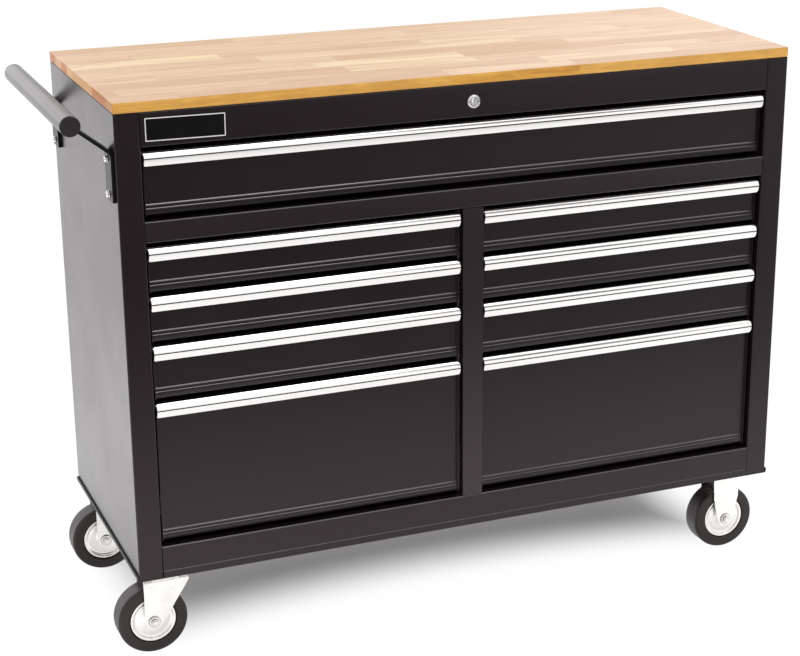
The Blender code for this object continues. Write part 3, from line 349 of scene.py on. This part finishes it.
def add_piece(name, work, body, slot, replaced=(), material=None, *, sharp, weighted=True):
    # A piece that rides on a body and may replace nodes; edges that turn more than sharp degrees stay sharp
    mesh = bpy.data.meshes.new(name)
    bmesh.ops.recalc_face_normals(work, faces=work.faces)
    work.to_mesh(mesh)
    work.free()
    mesh.shade_smooth()
    mesh.set_sharp_from_angle(angle=radians(sharp))
    item = bpy.data.objects.new(name, mesh)
    bpy.context.scene.collection.objects.link(item)
    mesh.materials.append(material or FINISH[slot])
    if weighted:
        change = item.modifiers.new("even_shading", "WEIGHTED_NORMAL")
        change.keep_sharp = True
        change.mode = "FACE_AREA"
    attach(item, body)
    if replaced:
        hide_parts(*replaced)
    return item


# Turns of more than this many degrees are softened, on edges longer than this many metres
SOFTENED_TURN = 62
SHORTEST_EDGE = 0.0016


def edge_turn(edge):
    return edge.calc_face_angle(0.0) if len(edge.link_faces) == 2 else 0.0


def highlight_folds(item, paint):
    # Narrow faces turned up and forward take the shinier coat, a painted highlight chosen by how they face
    # the light
    item.data.materials.append(paint)
    for face in item.data.polygons:
        if face.normal.y < -0.35 and face.normal.z > 0.35:
            face.material_index = 1
    return item


def dressed(name, width, material=None):
    # A copy of a CAD node, welded, with edges softened by width, a finish and even shading
    source = frame["nodes"][name].data
    work = bmesh.new()
    work.from_mesh(source)
    bmesh.ops.remove_doubles(work, verts=work.verts, dist=0.000002)
    bmesh.ops.dissolve_limit(work, angle_limit=radians(0.4), verts=work.verts, edges=work.edges)
    if width:
        edges = [edge for edge in work.edges
                 if edge_turn(edge) > radians(SOFTENED_TURN) and edge.calc_length() > SHORTEST_EDGE]
        bmesh.ops.bevel(work, geom=edges, offset=width, segments=2, profile=0.5, affect="EDGES",
                        clamp_overlap=True)
    return add_piece(name + ".look", work, BODIES[name], SLOTS[name], (name,), material, sharp=50.0)


def ring_at(work, points):
    return [work.verts.new(point) for point in points]


def skin(work, rings, caps=False):
    # Faces from each closed ring to the next, and over the first and the last with caps. A ring that is one
    # point repeated gives triangles
    count = len(rings[0])
    for first, second in zip(rings, rings[1:]):
        for index in range(count):
            after = (index + 1) % count
            corners = list(dict.fromkeys((first[index], first[after], second[after], second[index])))
            if len(corners) > 2:
                work.faces.new(corners)
    if caps:
        work.faces.new(rings[0][::-1])
        work.faces.new(rings[-1])


def full_turn(steps):
    return [2 * pi * step / steps for step in range(steps)]


def spin(work, profile, axis, centre, steps, closed=False):
    # Turns a profile of radius and place along X or Y; radius zero makes a point on the axis
    def at(radius, along, turn):
        pair = (centre[0] + radius * cos(turn), centre[1] + radius * sin(turn))
        return (along, pair[0], pair[1]) if axis == "X" else (pair[0], along, pair[1])
    rings = []
    for radius, along in profile:
        if radius <= 0:
            rings.append([work.verts.new(at(0, along, 0))] * steps)
        else:
            rings.append([work.verts.new(at(radius, along, turn)) for turn in full_turn(steps)])
    if closed:
        rings.append(rings[0])
    skin(work, rings)


def arc(centre, radius, start, stop, steps):
    # Points on part of a circle, from one angle in degrees to another
    return [(centre[0] + radius * cos(radians(start + (stop - start) * step / steps)),
             centre[1] + radius * sin(radians(start + (stop - start) * step / steps)))
            for step in range(steps + 1)]


# Drawer fronts and pan

def bead(depth, height, out):
    # A ridge's sloping top, its nose and its underside: depth behind the front plane against height
    return [(depth, height + out + 0.0001), (depth - out, height + 0.0001),
            (depth - out - 0.0001, height - 0.0001), (depth - out - 0.00005, height - 0.0003),
            (depth - 0.0004, height - 0.0012)]


# How far a front's turned ends reach below its face, and the thickness of its sheet
FACE_END_DROP = 0.0020
FACE_SHEET = 0.0012


def make_beads(drawer):
    # The two ridges rolled into the foot of a drawer's front, from one turned end to the other
    low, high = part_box(drawer + "_drawer_tray")
    foot = low.z + FACE_END_DROP
    profile = [(0.0153, 0.0166)] + bead(0.0149, 0.0150, 0.0015) + [(0.0135, 0.0136), (0.0135, 0.0120)]
    profile += bead(0.0135, 0.0090, 0.0010)
    profile += [(0.0121, 0.0076), (0.0121, 0.0005), (0.0123, 0.0001), (0.0153, 0.0001)]
    work = bmesh.new()
    rings = [ring_at(work, [(x, FRONT + depth, foot + height) for depth, height in profile])
             for x in (low.x + FACE_SHEET, high.x - FACE_SHEET)]
    skin(work, rings, caps=True)
    beads = add_piece(drawer + "_drawer_beads", work, BODIES[drawer + "_drawer_tray"], "black_paint",
                      material=DRAWER_PAINT, sharp=36.0, weighted=False)
    highlight_folds(beads, FOLD_HIGHLIGHT_PAINT)


# How far from the cabinet's middle the pan's lip starts, and where its front strip ends on both sides
LIP_START = 0.5840
STRIP_ENDS = (-0.5061, 0.5820)


def make_pan():
    # The pan: its front strip stands a little proud of the bottom rail, and its lip round the sides is matt
    pan = highlight_folds(dressed("base_pan", 0.0003), RAIL_FOLD_HIGHLIGHT_PAINT)
    pan.data.materials.append(LIP_PAINT)
    for face in pan.data.polygons:
        if abs(face.center.x - MIDDLE.x) > LIP_START:
            face.material_index = 2
    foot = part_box("base_pan")[0].z
    profile = [(0.0004, 0.0004), (-0.0005, 0.0004), (-0.0007, 0.0006), (-0.0007, 0.0122), (0.0, 0.0129),
               (0.0004, 0.0129)]
    work = bmesh.new()
    rings = [ring_at(work, [(x, FRONT + depth, foot + height) for depth, height in profile])
             for x in STRIP_ENDS]
    skin(work, rings, caps=True)
    strip = add_piece("base_pan_strip", work, "cart", "black_paint", sharp=30.0, weighted=False)
    highlight_folds(strip, RAIL_FOLD_HIGHLIGHT_PAINT)


# Drawer pulls

# The radius of a pull's corners, and how far below its top edge its front is grooved: the band whose floor
# takes a painted shadow
PULL_CORNER = 0.0032
GROOVE_SPAN = (0.0101, 0.0119)


def pull_profile():
    # Depth behind the front plane against height: a hooked strip with a rounded nose, a groove and a skirt
    outer = [(0.0146, 0.0), (0.0086, 0.0)]
    for step in range(15):
        share = step / 14
        depth = 0.0072 + (0.0003 - 0.0072) * share
        outer.append((depth - 0.0011 * sin(pi * share), -0.0004 - 0.0096 * share))
    groove = [(0.0006, -0.01012), (0.0013, -0.01045), (0.0014, -0.0110), (0.0013, -0.01155),
              (0.0006, -0.0119)]
    skirt = [(0.00032, -0.0121)]
    for step in range(1, 9):
        share = step / 8
        skirt.append((0.0003 + 0.0036 * share ** 1.15, -0.0121 - 0.0104 * share))
    foot = [(0.0042, -0.0230), (0.0047, -0.0234), (0.0053, -0.0235), (0.0059, -0.0233)]
    inside = [(0.0031, -0.0119), (0.0031, -0.0101), (0.0081, -0.0018), (0.0129, -0.0018),
              (0.0129, -0.0120), (0.0146, -0.0120)]
    return outer + groove + skirt + foot + inside


def make_pull(name):
    low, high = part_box(name)
    radius = PULL_CORNER
    tall = high.z - low.z
    profile = pull_profile()
    steps = 7
    gaps = [radius * (1 - cos(pi / 2 * step / steps)) for step in range(steps + 1)]
    stations = [(low.x + gap, gap) for gap in gaps] + [(high.x - gap, gap) for gap in gaps[::-1]]
    work = bmesh.new()
    rings = []
    for x, gap in stations:
        # Towards its ends the profile is cut off at the top and the foot, which rounds the corners
        inset = radius - sqrt(max(radius ** 2 - (radius - min(gap, radius)) ** 2, 0.0))
        inset = min(inset, radius * 0.85)
        rings.append(ring_at(work, [(x, FRONT + depth, high.z + min(max(height, -tall + inset), -inset))
                                    for depth, height in profile]))
    skin(work, rings, caps=True)
    bmesh.ops.remove_doubles(work, verts=work.verts, dist=0.000001)
    # The groove's floor takes a dark matt finish, a painted shadow in the groove
    for face in work.faces:
        middle = face.calc_center_median()
        below = high.z - middle.z
        face.material_index = int(GROOVE_SPAN[0] < below < GROOVE_SPAN[1] and middle.y < FRONT + 0.0016)
    item = add_piece(name + ".look", work, BODIES[name], "aluminium", (name,), sharp=38.0)
    item.data.materials.append(GROOVE)


# Wheels

# How far from the wheel's middle the axle's washers lie on the fork
AXLE_SEAT = 0.0258


def both_sides(profile):
    # A profile of radius and distance from the wheel's middle, and its mirror image
    return profile + [(radius, -along) for radius, along in profile[::-1]]


def make_tyre(name, spot):
    side = [(0.0387, 0.0130), (0.0394, 0.0142), (0.0401, 0.0190), (0.0406, 0.0197), (0.0414, 0.0200),
            (0.0448, 0.0201), (0.0500, 0.0200), (0.0530, 0.0198)]
    side += arc((0.0536, 0.0148), 0.0049, 88, 4, 8)
    side += [(0.0585, 0.0118), (0.0585, 0.0060), (0.0585, 0.0004)]
    work = bmesh.new()
    profile = [(radius, spot.y + along) for radius, along in both_sides(side)]
    spin(work, profile, "Y", (spot.x, spot.z), 128, closed=True)
    add_piece(name + ".look", work, BODIES[name], "rubber", (name,), sharp=60.0, weighted=False)


def make_hub(name, spot):
    # A pressed disc: rolled rim, sloping wall, flat with a ring pressed in, flared boss
    side = [(0.0053, 0.0227), (0.0118, 0.0227), (0.0125, 0.0222), (0.0127, 0.0200), (0.0134, 0.0176),
            (0.0150, 0.0160), (0.0172, 0.0154), (0.0200, 0.0152), (0.0268, 0.0150)]
    side += [(0.0278, 0.0145), (0.0288, 0.0142), (0.0298, 0.0142), (0.0308, 0.0144)]
    side += [(0.0318, 0.0148), (0.0327, 0.0156), (0.0334, 0.0168), (0.0341, 0.0179), (0.0349, 0.0186),
             (0.0359, 0.0189), (0.0372, 0.0189), (0.0381, 0.0185), (0.0384, 0.0176)]
    work = bmesh.new()
    profile = [(radius, spot.y + along) for radius, along in both_sides(side)]
    spin(work, profile, "Y", (spot.x, spot.z), 128, closed=True)
    add_piece(name + ".look", work, BODIES[name], "zinc", (name,), sharp=50.0, weighted=False)


def hexagon(turn, apothem):
    # The distance from a hexagon's middle to its outline, in the direction of a turn
    return apothem / cos((turn + pi / 6) % (pi / 3) - pi / 6)


def hex_head(work, spot, near, far, across, hand):
    # A six-sided head with its corners turned off, along Y
    apothem = across / 2
    corner = apothem / cos(pi / 6)
    depth = abs(far - near)
    rings = []
    for along, limit in ((0.0, corner), (depth * 0.72, corner), (depth * 0.86, (corner + apothem) / 2),
                         (depth, apothem * 0.97)):
        points = []
        for turn in full_turn(48):
            reach = min(hexagon(turn, apothem), limit)
            points.append((spot.x + reach * cos(turn), near + hand * along, spot.z + reach * sin(turn)))
        rings.append(ring_at(work, points))
    skin(work, rings)
    work.faces.new(rings[-1])


def make_axle(name, spot):
    # A shouldered bolt: a flanged hexagon at each end and the bolt's rounded tip standing out of the nut
    seat = AXLE_SEAT
    washer = [(0.0050, 0.0), (0.0050, seat), (0.0094, seat), (0.0098, seat + 0.0004),
              (0.0098, seat + 0.0014), (0.0088, seat + 0.0022), (0.0060, seat + 0.0024)]
    tip = [(0.0040, seat + 0.0060), (0.0040, seat + 0.0068), (0.0034, seat + 0.0073), (0.0, seat + 0.0074)]
    work = bmesh.new()
    for hand in (1, -1):
        spin(work, [(radius, spot.y + hand * along) for radius, along in washer], "Y", (spot.x, spot.z), 48)
        hex_head(work, spot, spot.y + hand * (seat + 0.0020), spot.y + hand * (seat + 0.0062), 0.0118, hand)
        spin(work, [(radius, spot.y + hand * along) for radius, along in tip], "Y", (spot.x, spot.z), 32)
    item = add_piece(name + ".look", work, BODIES[name], "zinc", (name,), sharp=32.0)
    # The sides that face across the axle take a much darker zinc: painted shade on the bolt's sides
    item.data.materials.append(AXLE_SIDE_SHADE_ZINC)
    for face in item.data.polygons:
        face.material_index = int(abs(face.normal.y) < 0.8)


# Handle, lock and label

TUBE_RADIUS = 0.0159
TUBE_BORE = 0.0139
# The label plate's left, right, bottom and top, and its slope: it sits a little crooked
LABEL_BOX = (-0.4998, -0.3730, 0.8693, 0.9070)
LABEL_TURN = 0.013


def make_tube():
    low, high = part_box("handle_tube")
    centre = ((low.x + high.x) / 2, (low.z + high.z) / 2)
    chamfer = 0.0003
    profile = [(TUBE_RADIUS, low.y + chamfer), (TUBE_RADIUS, high.y - chamfer),
               (TUBE_RADIUS - chamfer, high.y), (TUBE_BORE, high.y), (TUBE_BORE, low.y),
               (TUBE_RADIUS - chamfer, low.y)]
    work = bmesh.new()
    spin(work, profile, "Y", centre, 96, closed=True)
    add_piece("handle_tube.look", work, "cart", "tube_paint", ("handle_tube",), sharp=30.0)


def make_cap(name, hand):
    # A plastic plug: a slightly domed cover with a rounded rim, and a stem in the tube
    tube_low, tube_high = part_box("handle_tube")
    centre = ((tube_low.x + tube_high.x) / 2, (tube_low.z + tube_high.z) / 2)
    low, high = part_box(name)
    face, inner = (low.y, high.y) if hand < 0 else (high.y, low.y)
    shoulder = face - hand * 0.0025
    rounding = 0.0014
    rim = arc((TUBE_RADIUS - rounding, 0.0), rounding, 90, 0, 6)
    cap = [(0.0, face - hand * 0.0003), (0.0090, face - hand * 0.0003), (0.0105, face - hand * 0.0001)]
    cap += [(radius, face - hand * (rounding - along)) for radius, along in rim]
    cap += [(TUBE_RADIUS, shoulder), (0.0136, shoulder), (0.0136, inner), (0.0, inner)]
    work = bmesh.new()
    spin(work, cap, "Y", centre, 72)
    add_piece(name + ".look", work, "cart", "cap_plastic", (name,), sharp=36.0)


def make_bolt(name):
    # A round-headed socket screw on a washer, pointing along X
    low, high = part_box(name)
    centre = ((low.y + high.y) / 2, (low.z + high.z) / 2)
    head = low.x
    washer = 0.0012
    seat = head + 0.0036 + washer
    rounding = 0.0018
    rim = 0.0031
    profile = [(0.0, high.x), (0.0026, high.x), (0.0032, high.x - 0.0008), (0.0032, seat), (0.0054, seat),
               (0.0056, seat - 0.0003), (0.0056, seat - 0.0010), (0.0054, seat - washer),
               (0.0049, seat - washer), (0.0049, head + rounding)]
    profile += [(0.0049 - rounding * (1 - cos(radians(angle))), head + rounding * (1 - sin(radians(angle))))
                for angle in (20, 40, 60, 80, 90)]
    profile += [(rim, head)]
    work = bmesh.new()
    spin(work, profile, "X", centre, 48)
    # The hexagon socket joins the round rim
    rings = []
    for depth, is_rim in ((0.0, True), (0.0004, False), (0.0022, False)):
        points = []
        for turn in full_turn(48):
            reach = rim if is_rim else hexagon(turn, 0.0025)
            points.append((head + depth, centre[0] + reach * cos(turn), centre[1] + reach * sin(turn)))
        rings.append(ring_at(work, points))
    skin(work, rings)
    work.faces.new(rings[-1])
    bmesh.ops.remove_doubles(work, verts=work.verts, dist=0.000001)
    add_piece(name + ".look", work, "cart", "zinc", (name,), sharp=34.0)


def make_lock():
    # The lock's housing: a ringed bezel in front of the rail, the nut behind it and the barrel
    low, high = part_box("lock_housing")
    centre = ((low.x + high.x) / 2, (low.z + high.z) / 2)
    bezel = [(0.0067, 0.0200), (0.0067, 0.0007), (0.0070, 0.0002), (0.0076, 0.0), (0.0084, 0.0001),
             (0.0088, 0.0006), (0.0092, 0.0007), (0.0096, 0.0004), (0.0102, 0.0003), (0.0108, 0.0008),
             (0.0113, 0.0016), (0.0114, 0.0027), (0.0090, 0.0027), (0.0090, 0.0045), (0.0130, 0.0045),
             (0.0130, 0.0080), (0.0090, 0.0080), (0.0090, 0.0230), (0.0067, 0.0230)]
    work = bmesh.new()
    spin(work, [(radius, low.y + depth) for radius, depth in bezel], "Y", centre, 72, closed=True)
    add_piece("lock_housing.look", work, "cart", "chrome", ("lock_housing",), sharp=44.0)


def label_ring(work, inset, radius, y):
    # The label's outline, smaller by inset, with rounded corners
    left, right, bottom, top = LABEL_BOX
    west, east = left + inset + radius, right - inset - radius
    south, north = bottom + inset + radius, top - inset - radius
    points = []
    for x, z, start in ((east, north, 0), (west, north, 90), (west, south, 180), (east, south, 270)):
        for step in range(7):
            angle = radians(start + 15 * step)
            across = x + radius * cos(angle)
            slope = LABEL_TURN * (across - (left + right) / 2)
            points.append((across, y, z + radius * sin(angle) - slope))
    return ring_at(work, points)


def make_label():
    # The plate on the top rail: thin and black, with a fine white line along its edge and no writing
    work = bmesh.new()
    rings = [label_ring(work, 0.0, 0.0020, FRONT), label_ring(work, 0.0, 0.0020, FRONT - 0.0003),
             label_ring(work, 0.0001, 0.0019, FRONT - 0.0004)]
    skin(work, rings, caps=True)
    add_piece("label_plate", work, "cart", "cap_plastic", material=LABEL_FACE, sharp=60.0)
    work = bmesh.new()
    y = FRONT - 0.0004
    raised = y - 0.00012
    rings = [label_ring(work, 0.0008, 0.0013, y), label_ring(work, 0.0009, 0.0013, raised),
             label_ring(work, 0.0023, 0.0009, raised), label_ring(work, 0.0024, 0.0008, y)]
    skin(work, rings + rings[:1])
    add_piece("label_line", work, "cart", "cap_plastic", material=WHITE_PAINT, sharp=60.0)


# The cart

for drawer in ("top", "left_1", "left_2", "left_3", "left_4", "right_1", "right_2", "right_3", "right_4"):
    dressed(drawer + "_drawer_tray", 0.0003, material=DRAWER_PAINT)
    make_beads(drawer)
    make_pull(drawer + "_drawer_pull")

for name in ("left_side_panel", "right_side_panel", "top_rail", "back_panel"):
    dressed(name, 0.0003)
make_pan()
highlight_folds(dressed("middle_rail", 0.0003, material=RAIL_SHEEN_PAINT), RAIL_FOLD_HIGHLIGHT_PAINT)
dressed("center_divider", 0.0003, material=RAIL_SHEEN_PAINT)
for name in ("front_handle_bracket", "rear_handle_bracket"):
    dressed(name, 0.0005)
for name in ("front_left_fork", "rear_left_fork", "front_right_caster_bracket",
             "rear_right_caster_bracket"):
    dressed(name, 0.0004)
for name in ("front_left_caster_plate", "rear_left_caster_plate", "left_slide_rack", "right_slide_rack",
             "divider_left_rack", "divider_right_rack", "lock_cylinder", "wood_top"):
    dressed(name, 0.0)
for end in ("front", "rear"):
    for side in ("left", "right"):
        label = end + "_" + side
        low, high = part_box(label + "_tyre")
        spot = (low + high) / 2
        make_tyre(label + "_tyre", spot)
        make_hub(label + "_hub", spot)
        make_axle(label + "_axle", spot)
    for level in ("upper", "lower"):
        make_bolt(end + "_" + level + "_handle_bolt")
make_tube()
make_cap("front_handle_cap", -1)
make_cap("rear_handle_cap", 1)
make_lock()
make_label()


# Stage, light and camera

def toward(azimuth, elevation):
    # A direction by its turn from -Y towards +X and its height, in degrees
    turn, rise = radians(azimuth), radians(elevation)
    return (sin(turn) * cos(rise), -cos(turn) * cos(rise), sin(rise))


# What the camera sees of the room and the paper: a plain white
SEEN_WHITE = 1.03
# The room's brightness, the least that is left of it, and where it changes. Each row has a direction, the
# angle from it up to which the change is whole, the angle from which there is none, and the change
ROOM = 0.96
ROOM_LEAST = 0.06
PANELS = (
    # A broad glow in front, and a small bright panel high up that lights the folds
    (toward(30, 44), 20.0, 30.0, 0.26),
    (toward(44, 69), 4.0, 11.0, 2.8),
    # A small glow behind on the right
    (toward(143, 15), 5.0, 17.0, 1.1),
    # Three small darker patches that the pulls mirror
    (toward(32, 39), 2.0, 6.0, -0.5),
    (toward(36, 45), 2.0, 6.0, -0.8),
    (toward(40, 50), 2.0, 6.5, -1.05),
    # A broad glow behind on the left
    (toward(-160, 20), 12.0, 34.0, 1.15),
)
# The paper's white near the cart, and far in front on the left and on the right, where painted shade makes it
# darker, with the places along Y between which it changes
FLOOR_NEAR = 0.68
FLOOR_FAR = (0.20, 0.52)
FLOOR_END = (-0.4, -2.1)
# Half the length and half the depth of the place under the cart where the paper doesn't glow, and how much it
# glows away from there, on the left and elsewhere
UNDER_CART = (0.46, 0.10)
GLOW_LEFT = 1.0
GLOW = 0.53
# Where the shade under the cart starts and where it is full, from front to back, the share of plain white at
# both, and how fast the shade moves forward towards the cart's ends
SHADE_FRONT = (-0.14, 0.05)
SHADE_WHITE = (0.95, 0.05)
SHADE_BOW = 0.22


def near(tree, direction, axis, inner, outer):
    # One inside a cone round an axis, nothing outside it, angles in degrees
    inputs = {0: direction, 1: Vector(axis).normalized()}
    facing = node(tree, "ShaderNodeVectorMath", inputs, operation="DOT_PRODUCT").outputs["Value"]
    return spread(tree, facing, cos(radians(outer)), cos(radians(inner)), 0.0, 1.0, smooth=True)


def beyond(tree, value, half):
    # How far a value lies outside half a width on either side of zero
    return calc(tree, "MAXIMUM", calc(tree, "SUBTRACT", calc(tree, "ABSOLUTE", value), half), 0.0)


def paper_shader(tree, x, y, away, path):
    # White paper with a painted glow round the cart, more on the left, and painted shade that darkens it far
    # in front
    fade = spread(tree, y, FLOOR_END[1], FLOOR_END[0], 0.0, 1.0, smooth=True)
    far = spread(tree, x, 0.6, 2.6, *FLOOR_FAR, smooth=True)
    ahead = calc(tree, "ADD", product(tree, fade, FLOOR_NEAR), product(tree, flip(tree, fade), far))
    side = spread(tree, x, -0.95, -0.45, GLOW_LEFT, GLOW, smooth=True)
    side = product(tree, side, spread(tree, away, 0.4, 1.9, 1.0, 0.45, smooth=True))
    glow = product(tree, spread(tree, away, 0.0, 0.30, 0.0, 1.0, smooth=True), side, fade)
    # For glossy rays the paper close to the cart glows more: a painted reflection that keeps bright metal
    # near the floor light
    mirrored = product(tree, path.outputs["Is Glossy Ray"], spread(tree, away, 0.0, 0.15, 0.95, 0.0))
    glow = calc(tree, "ADD", glow, mirrored)
    tone = node(tree, "ShaderNodeCombineXYZ", {0: ahead, 1: ahead, 2: ahead}).outputs[0]
    paper = node(tree, "ShaderNodeBsdfDiffuse", {"Color": tone})
    lit = node(tree, "ShaderNodeEmission", {"Color": (1.0, 1.0, 1.0, 1.0), "Strength": glow})
    return node(tree, "ShaderNodeAddShader", {0: paper.outputs[0], 1: lit.outputs[0]}).outputs[0]


def floor_material():
    made = bpy.data.materials.new("floor_sweep")
    made.use_nodes = True
    tree = made.node_tree
    tree.nodes.clear()
    place = tree.nodes.new("ShaderNodeTexCoord").outputs["Object"]
    x, y = node(tree, "ShaderNodeSeparateXYZ", {0: place}).outputs[:2]
    offset = node(tree, "ShaderNodeVectorMath", {0: place, 1: MIDDLE}, operation="SUBTRACT").outputs[0]
    along, across = node(tree, "ShaderNodeSeparateXYZ", {0: offset}).outputs[:2]
    wide, deep = beyond(tree, along, UNDER_CART[0]), beyond(tree, across, UNDER_CART[1])
    away = calc(tree, "SQRT", calc(tree, "ADD", product(tree, wide, wide), product(tree, deep, deep)))
    path = node(tree, "ShaderNodeLightPath")
    paper = paper_shader(tree, x, y, away, path)
    # The camera sees plain white, and a painted shadow under the cart that reaches further forward by the
    # casters
    white = node(tree, "ShaderNodeEmission", {"Color": (1.0, 1.0, 1.0, 1.0), "Strength": SEEN_WHITE})
    depth = calc(tree, "ADD", y, product(tree, along, along, SHADE_BOW))
    veil = spread(tree, depth, *SHADE_FRONT, *SHADE_WHITE, smooth=True)
    ends = spread(tree, calc(tree, "ABSOLUTE", along), 0.44, 0.60, 0.0, 0.95, smooth=True)
    back = spread(tree, y, 0.22, 0.42, 0.0, 0.95, smooth=True)
    reach = node(tree, "ShaderNodeVectorMath", {0: place}, operation="LENGTH").outputs["Value"]
    far = spread(tree, reach, 0.8, 1.4, 0.0, 1.0, smooth=True)
    for other in (ends, back, far):
        veil = calc(tree, "MAXIMUM", veil, other)
    share = product(tree, veil, path.outputs["Is Camera Ray"])
    mixed = node(tree, "ShaderNodeMixShader", {0: share, 1: paper, 2: white.outputs[0]})
    node(tree, "ShaderNodeOutputMaterial", {0: mixed.outputs[0]})
    return made


def make_floor():
    work = bmesh.new()
    half = 14.0
    corners = ((-half, -half), (half, -half), (half, half), (-half, half))
    work.faces.new([work.verts.new((x, y, 0)) for x, y in corners])
    mesh = bpy.data.meshes.new("floor")
    work.to_mesh(mesh)
    work.free()
    mesh.materials.append(floor_material())
    floor = bpy.data.objects.new("floor", mesh)
    bpy.context.scene.collection.objects.link(floor)


def make_world():
    # A nearly even white room, with the brighter and darker places that the cart mirrors
    world = bpy.data.worlds.new("studio")
    bpy.context.scene.world = world
    world.use_nodes = True
    tree = world.node_tree
    tree.nodes.clear()
    seen = node(tree, "ShaderNodeLightPath").outputs["Is Camera Ray"]
    direction = node(tree, "ShaderNodeTexCoord").outputs["Generated"]
    level = ROOM
    for axis, inner, outer, change in PANELS:
        level = calc(tree, "ADD", level, product(tree, near(tree, direction, axis, inner, outer), change))
    level = calc(tree, "MAXIMUM", level, ROOM_LEAST)
    white = node(tree, "ShaderNodeBackground", {"Color": (1.0, 1.0, 1.0, 1.0), "Strength": SEEN_WHITE})
    room = node(tree, "ShaderNodeBackground", {"Color": (1.0, 0.98, 0.98, 1.0), "Strength": level})
    mixed = node(tree, "ShaderNodeMixShader", {0: seen, 1: room.outputs[0], 2: white.outputs[0]})
    node(tree, "ShaderNodeOutputWorld", {0: mixed.outputs[0]})


def make_overhead():
    # A large weak light high above
    size = 3.0
    radiance = 0.1
    data = bpy.data.lights.new("overhead", "AREA")
    data.shape = "RECTANGLE"
    data.size = data.size_y = size
    data.energy = radiance * pi * size * size
    place = Vector((0.1, -0.2, 4.2))
    item = bpy.data.objects.new("overhead", data)
    bpy.context.scene.collection.objects.link(item)
    item.location = place
    item.rotation_euler = (-place).to_track_quat("-Z", "Y").to_euler()
    item.visible_camera = False


def make_camera():
    data = bpy.data.cameras.new("camera")
    camera = bpy.data.objects.new("camera", data)
    bpy.context.scene.collection.objects.link(camera)
    camera.location = (-1.17463, -3.01891, 1.54376)
    camera.rotation_euler = (1.23957, 0.0, -0.39834)
    data.sensor_width = 36.0
    data.lens = 87.02
    data.shift_x = -0.0660
    data.shift_y = 0.0061
    data.dof.use_dof = False
    bpy.context.scene.camera = camera


make_floor()
make_world()
make_overhead()
make_camera()
bpy.context.scene.view_settings.view_transform = "Standard"
bpy.context.scene.view_settings.look = "None"

bpy.context.view_layer.update()
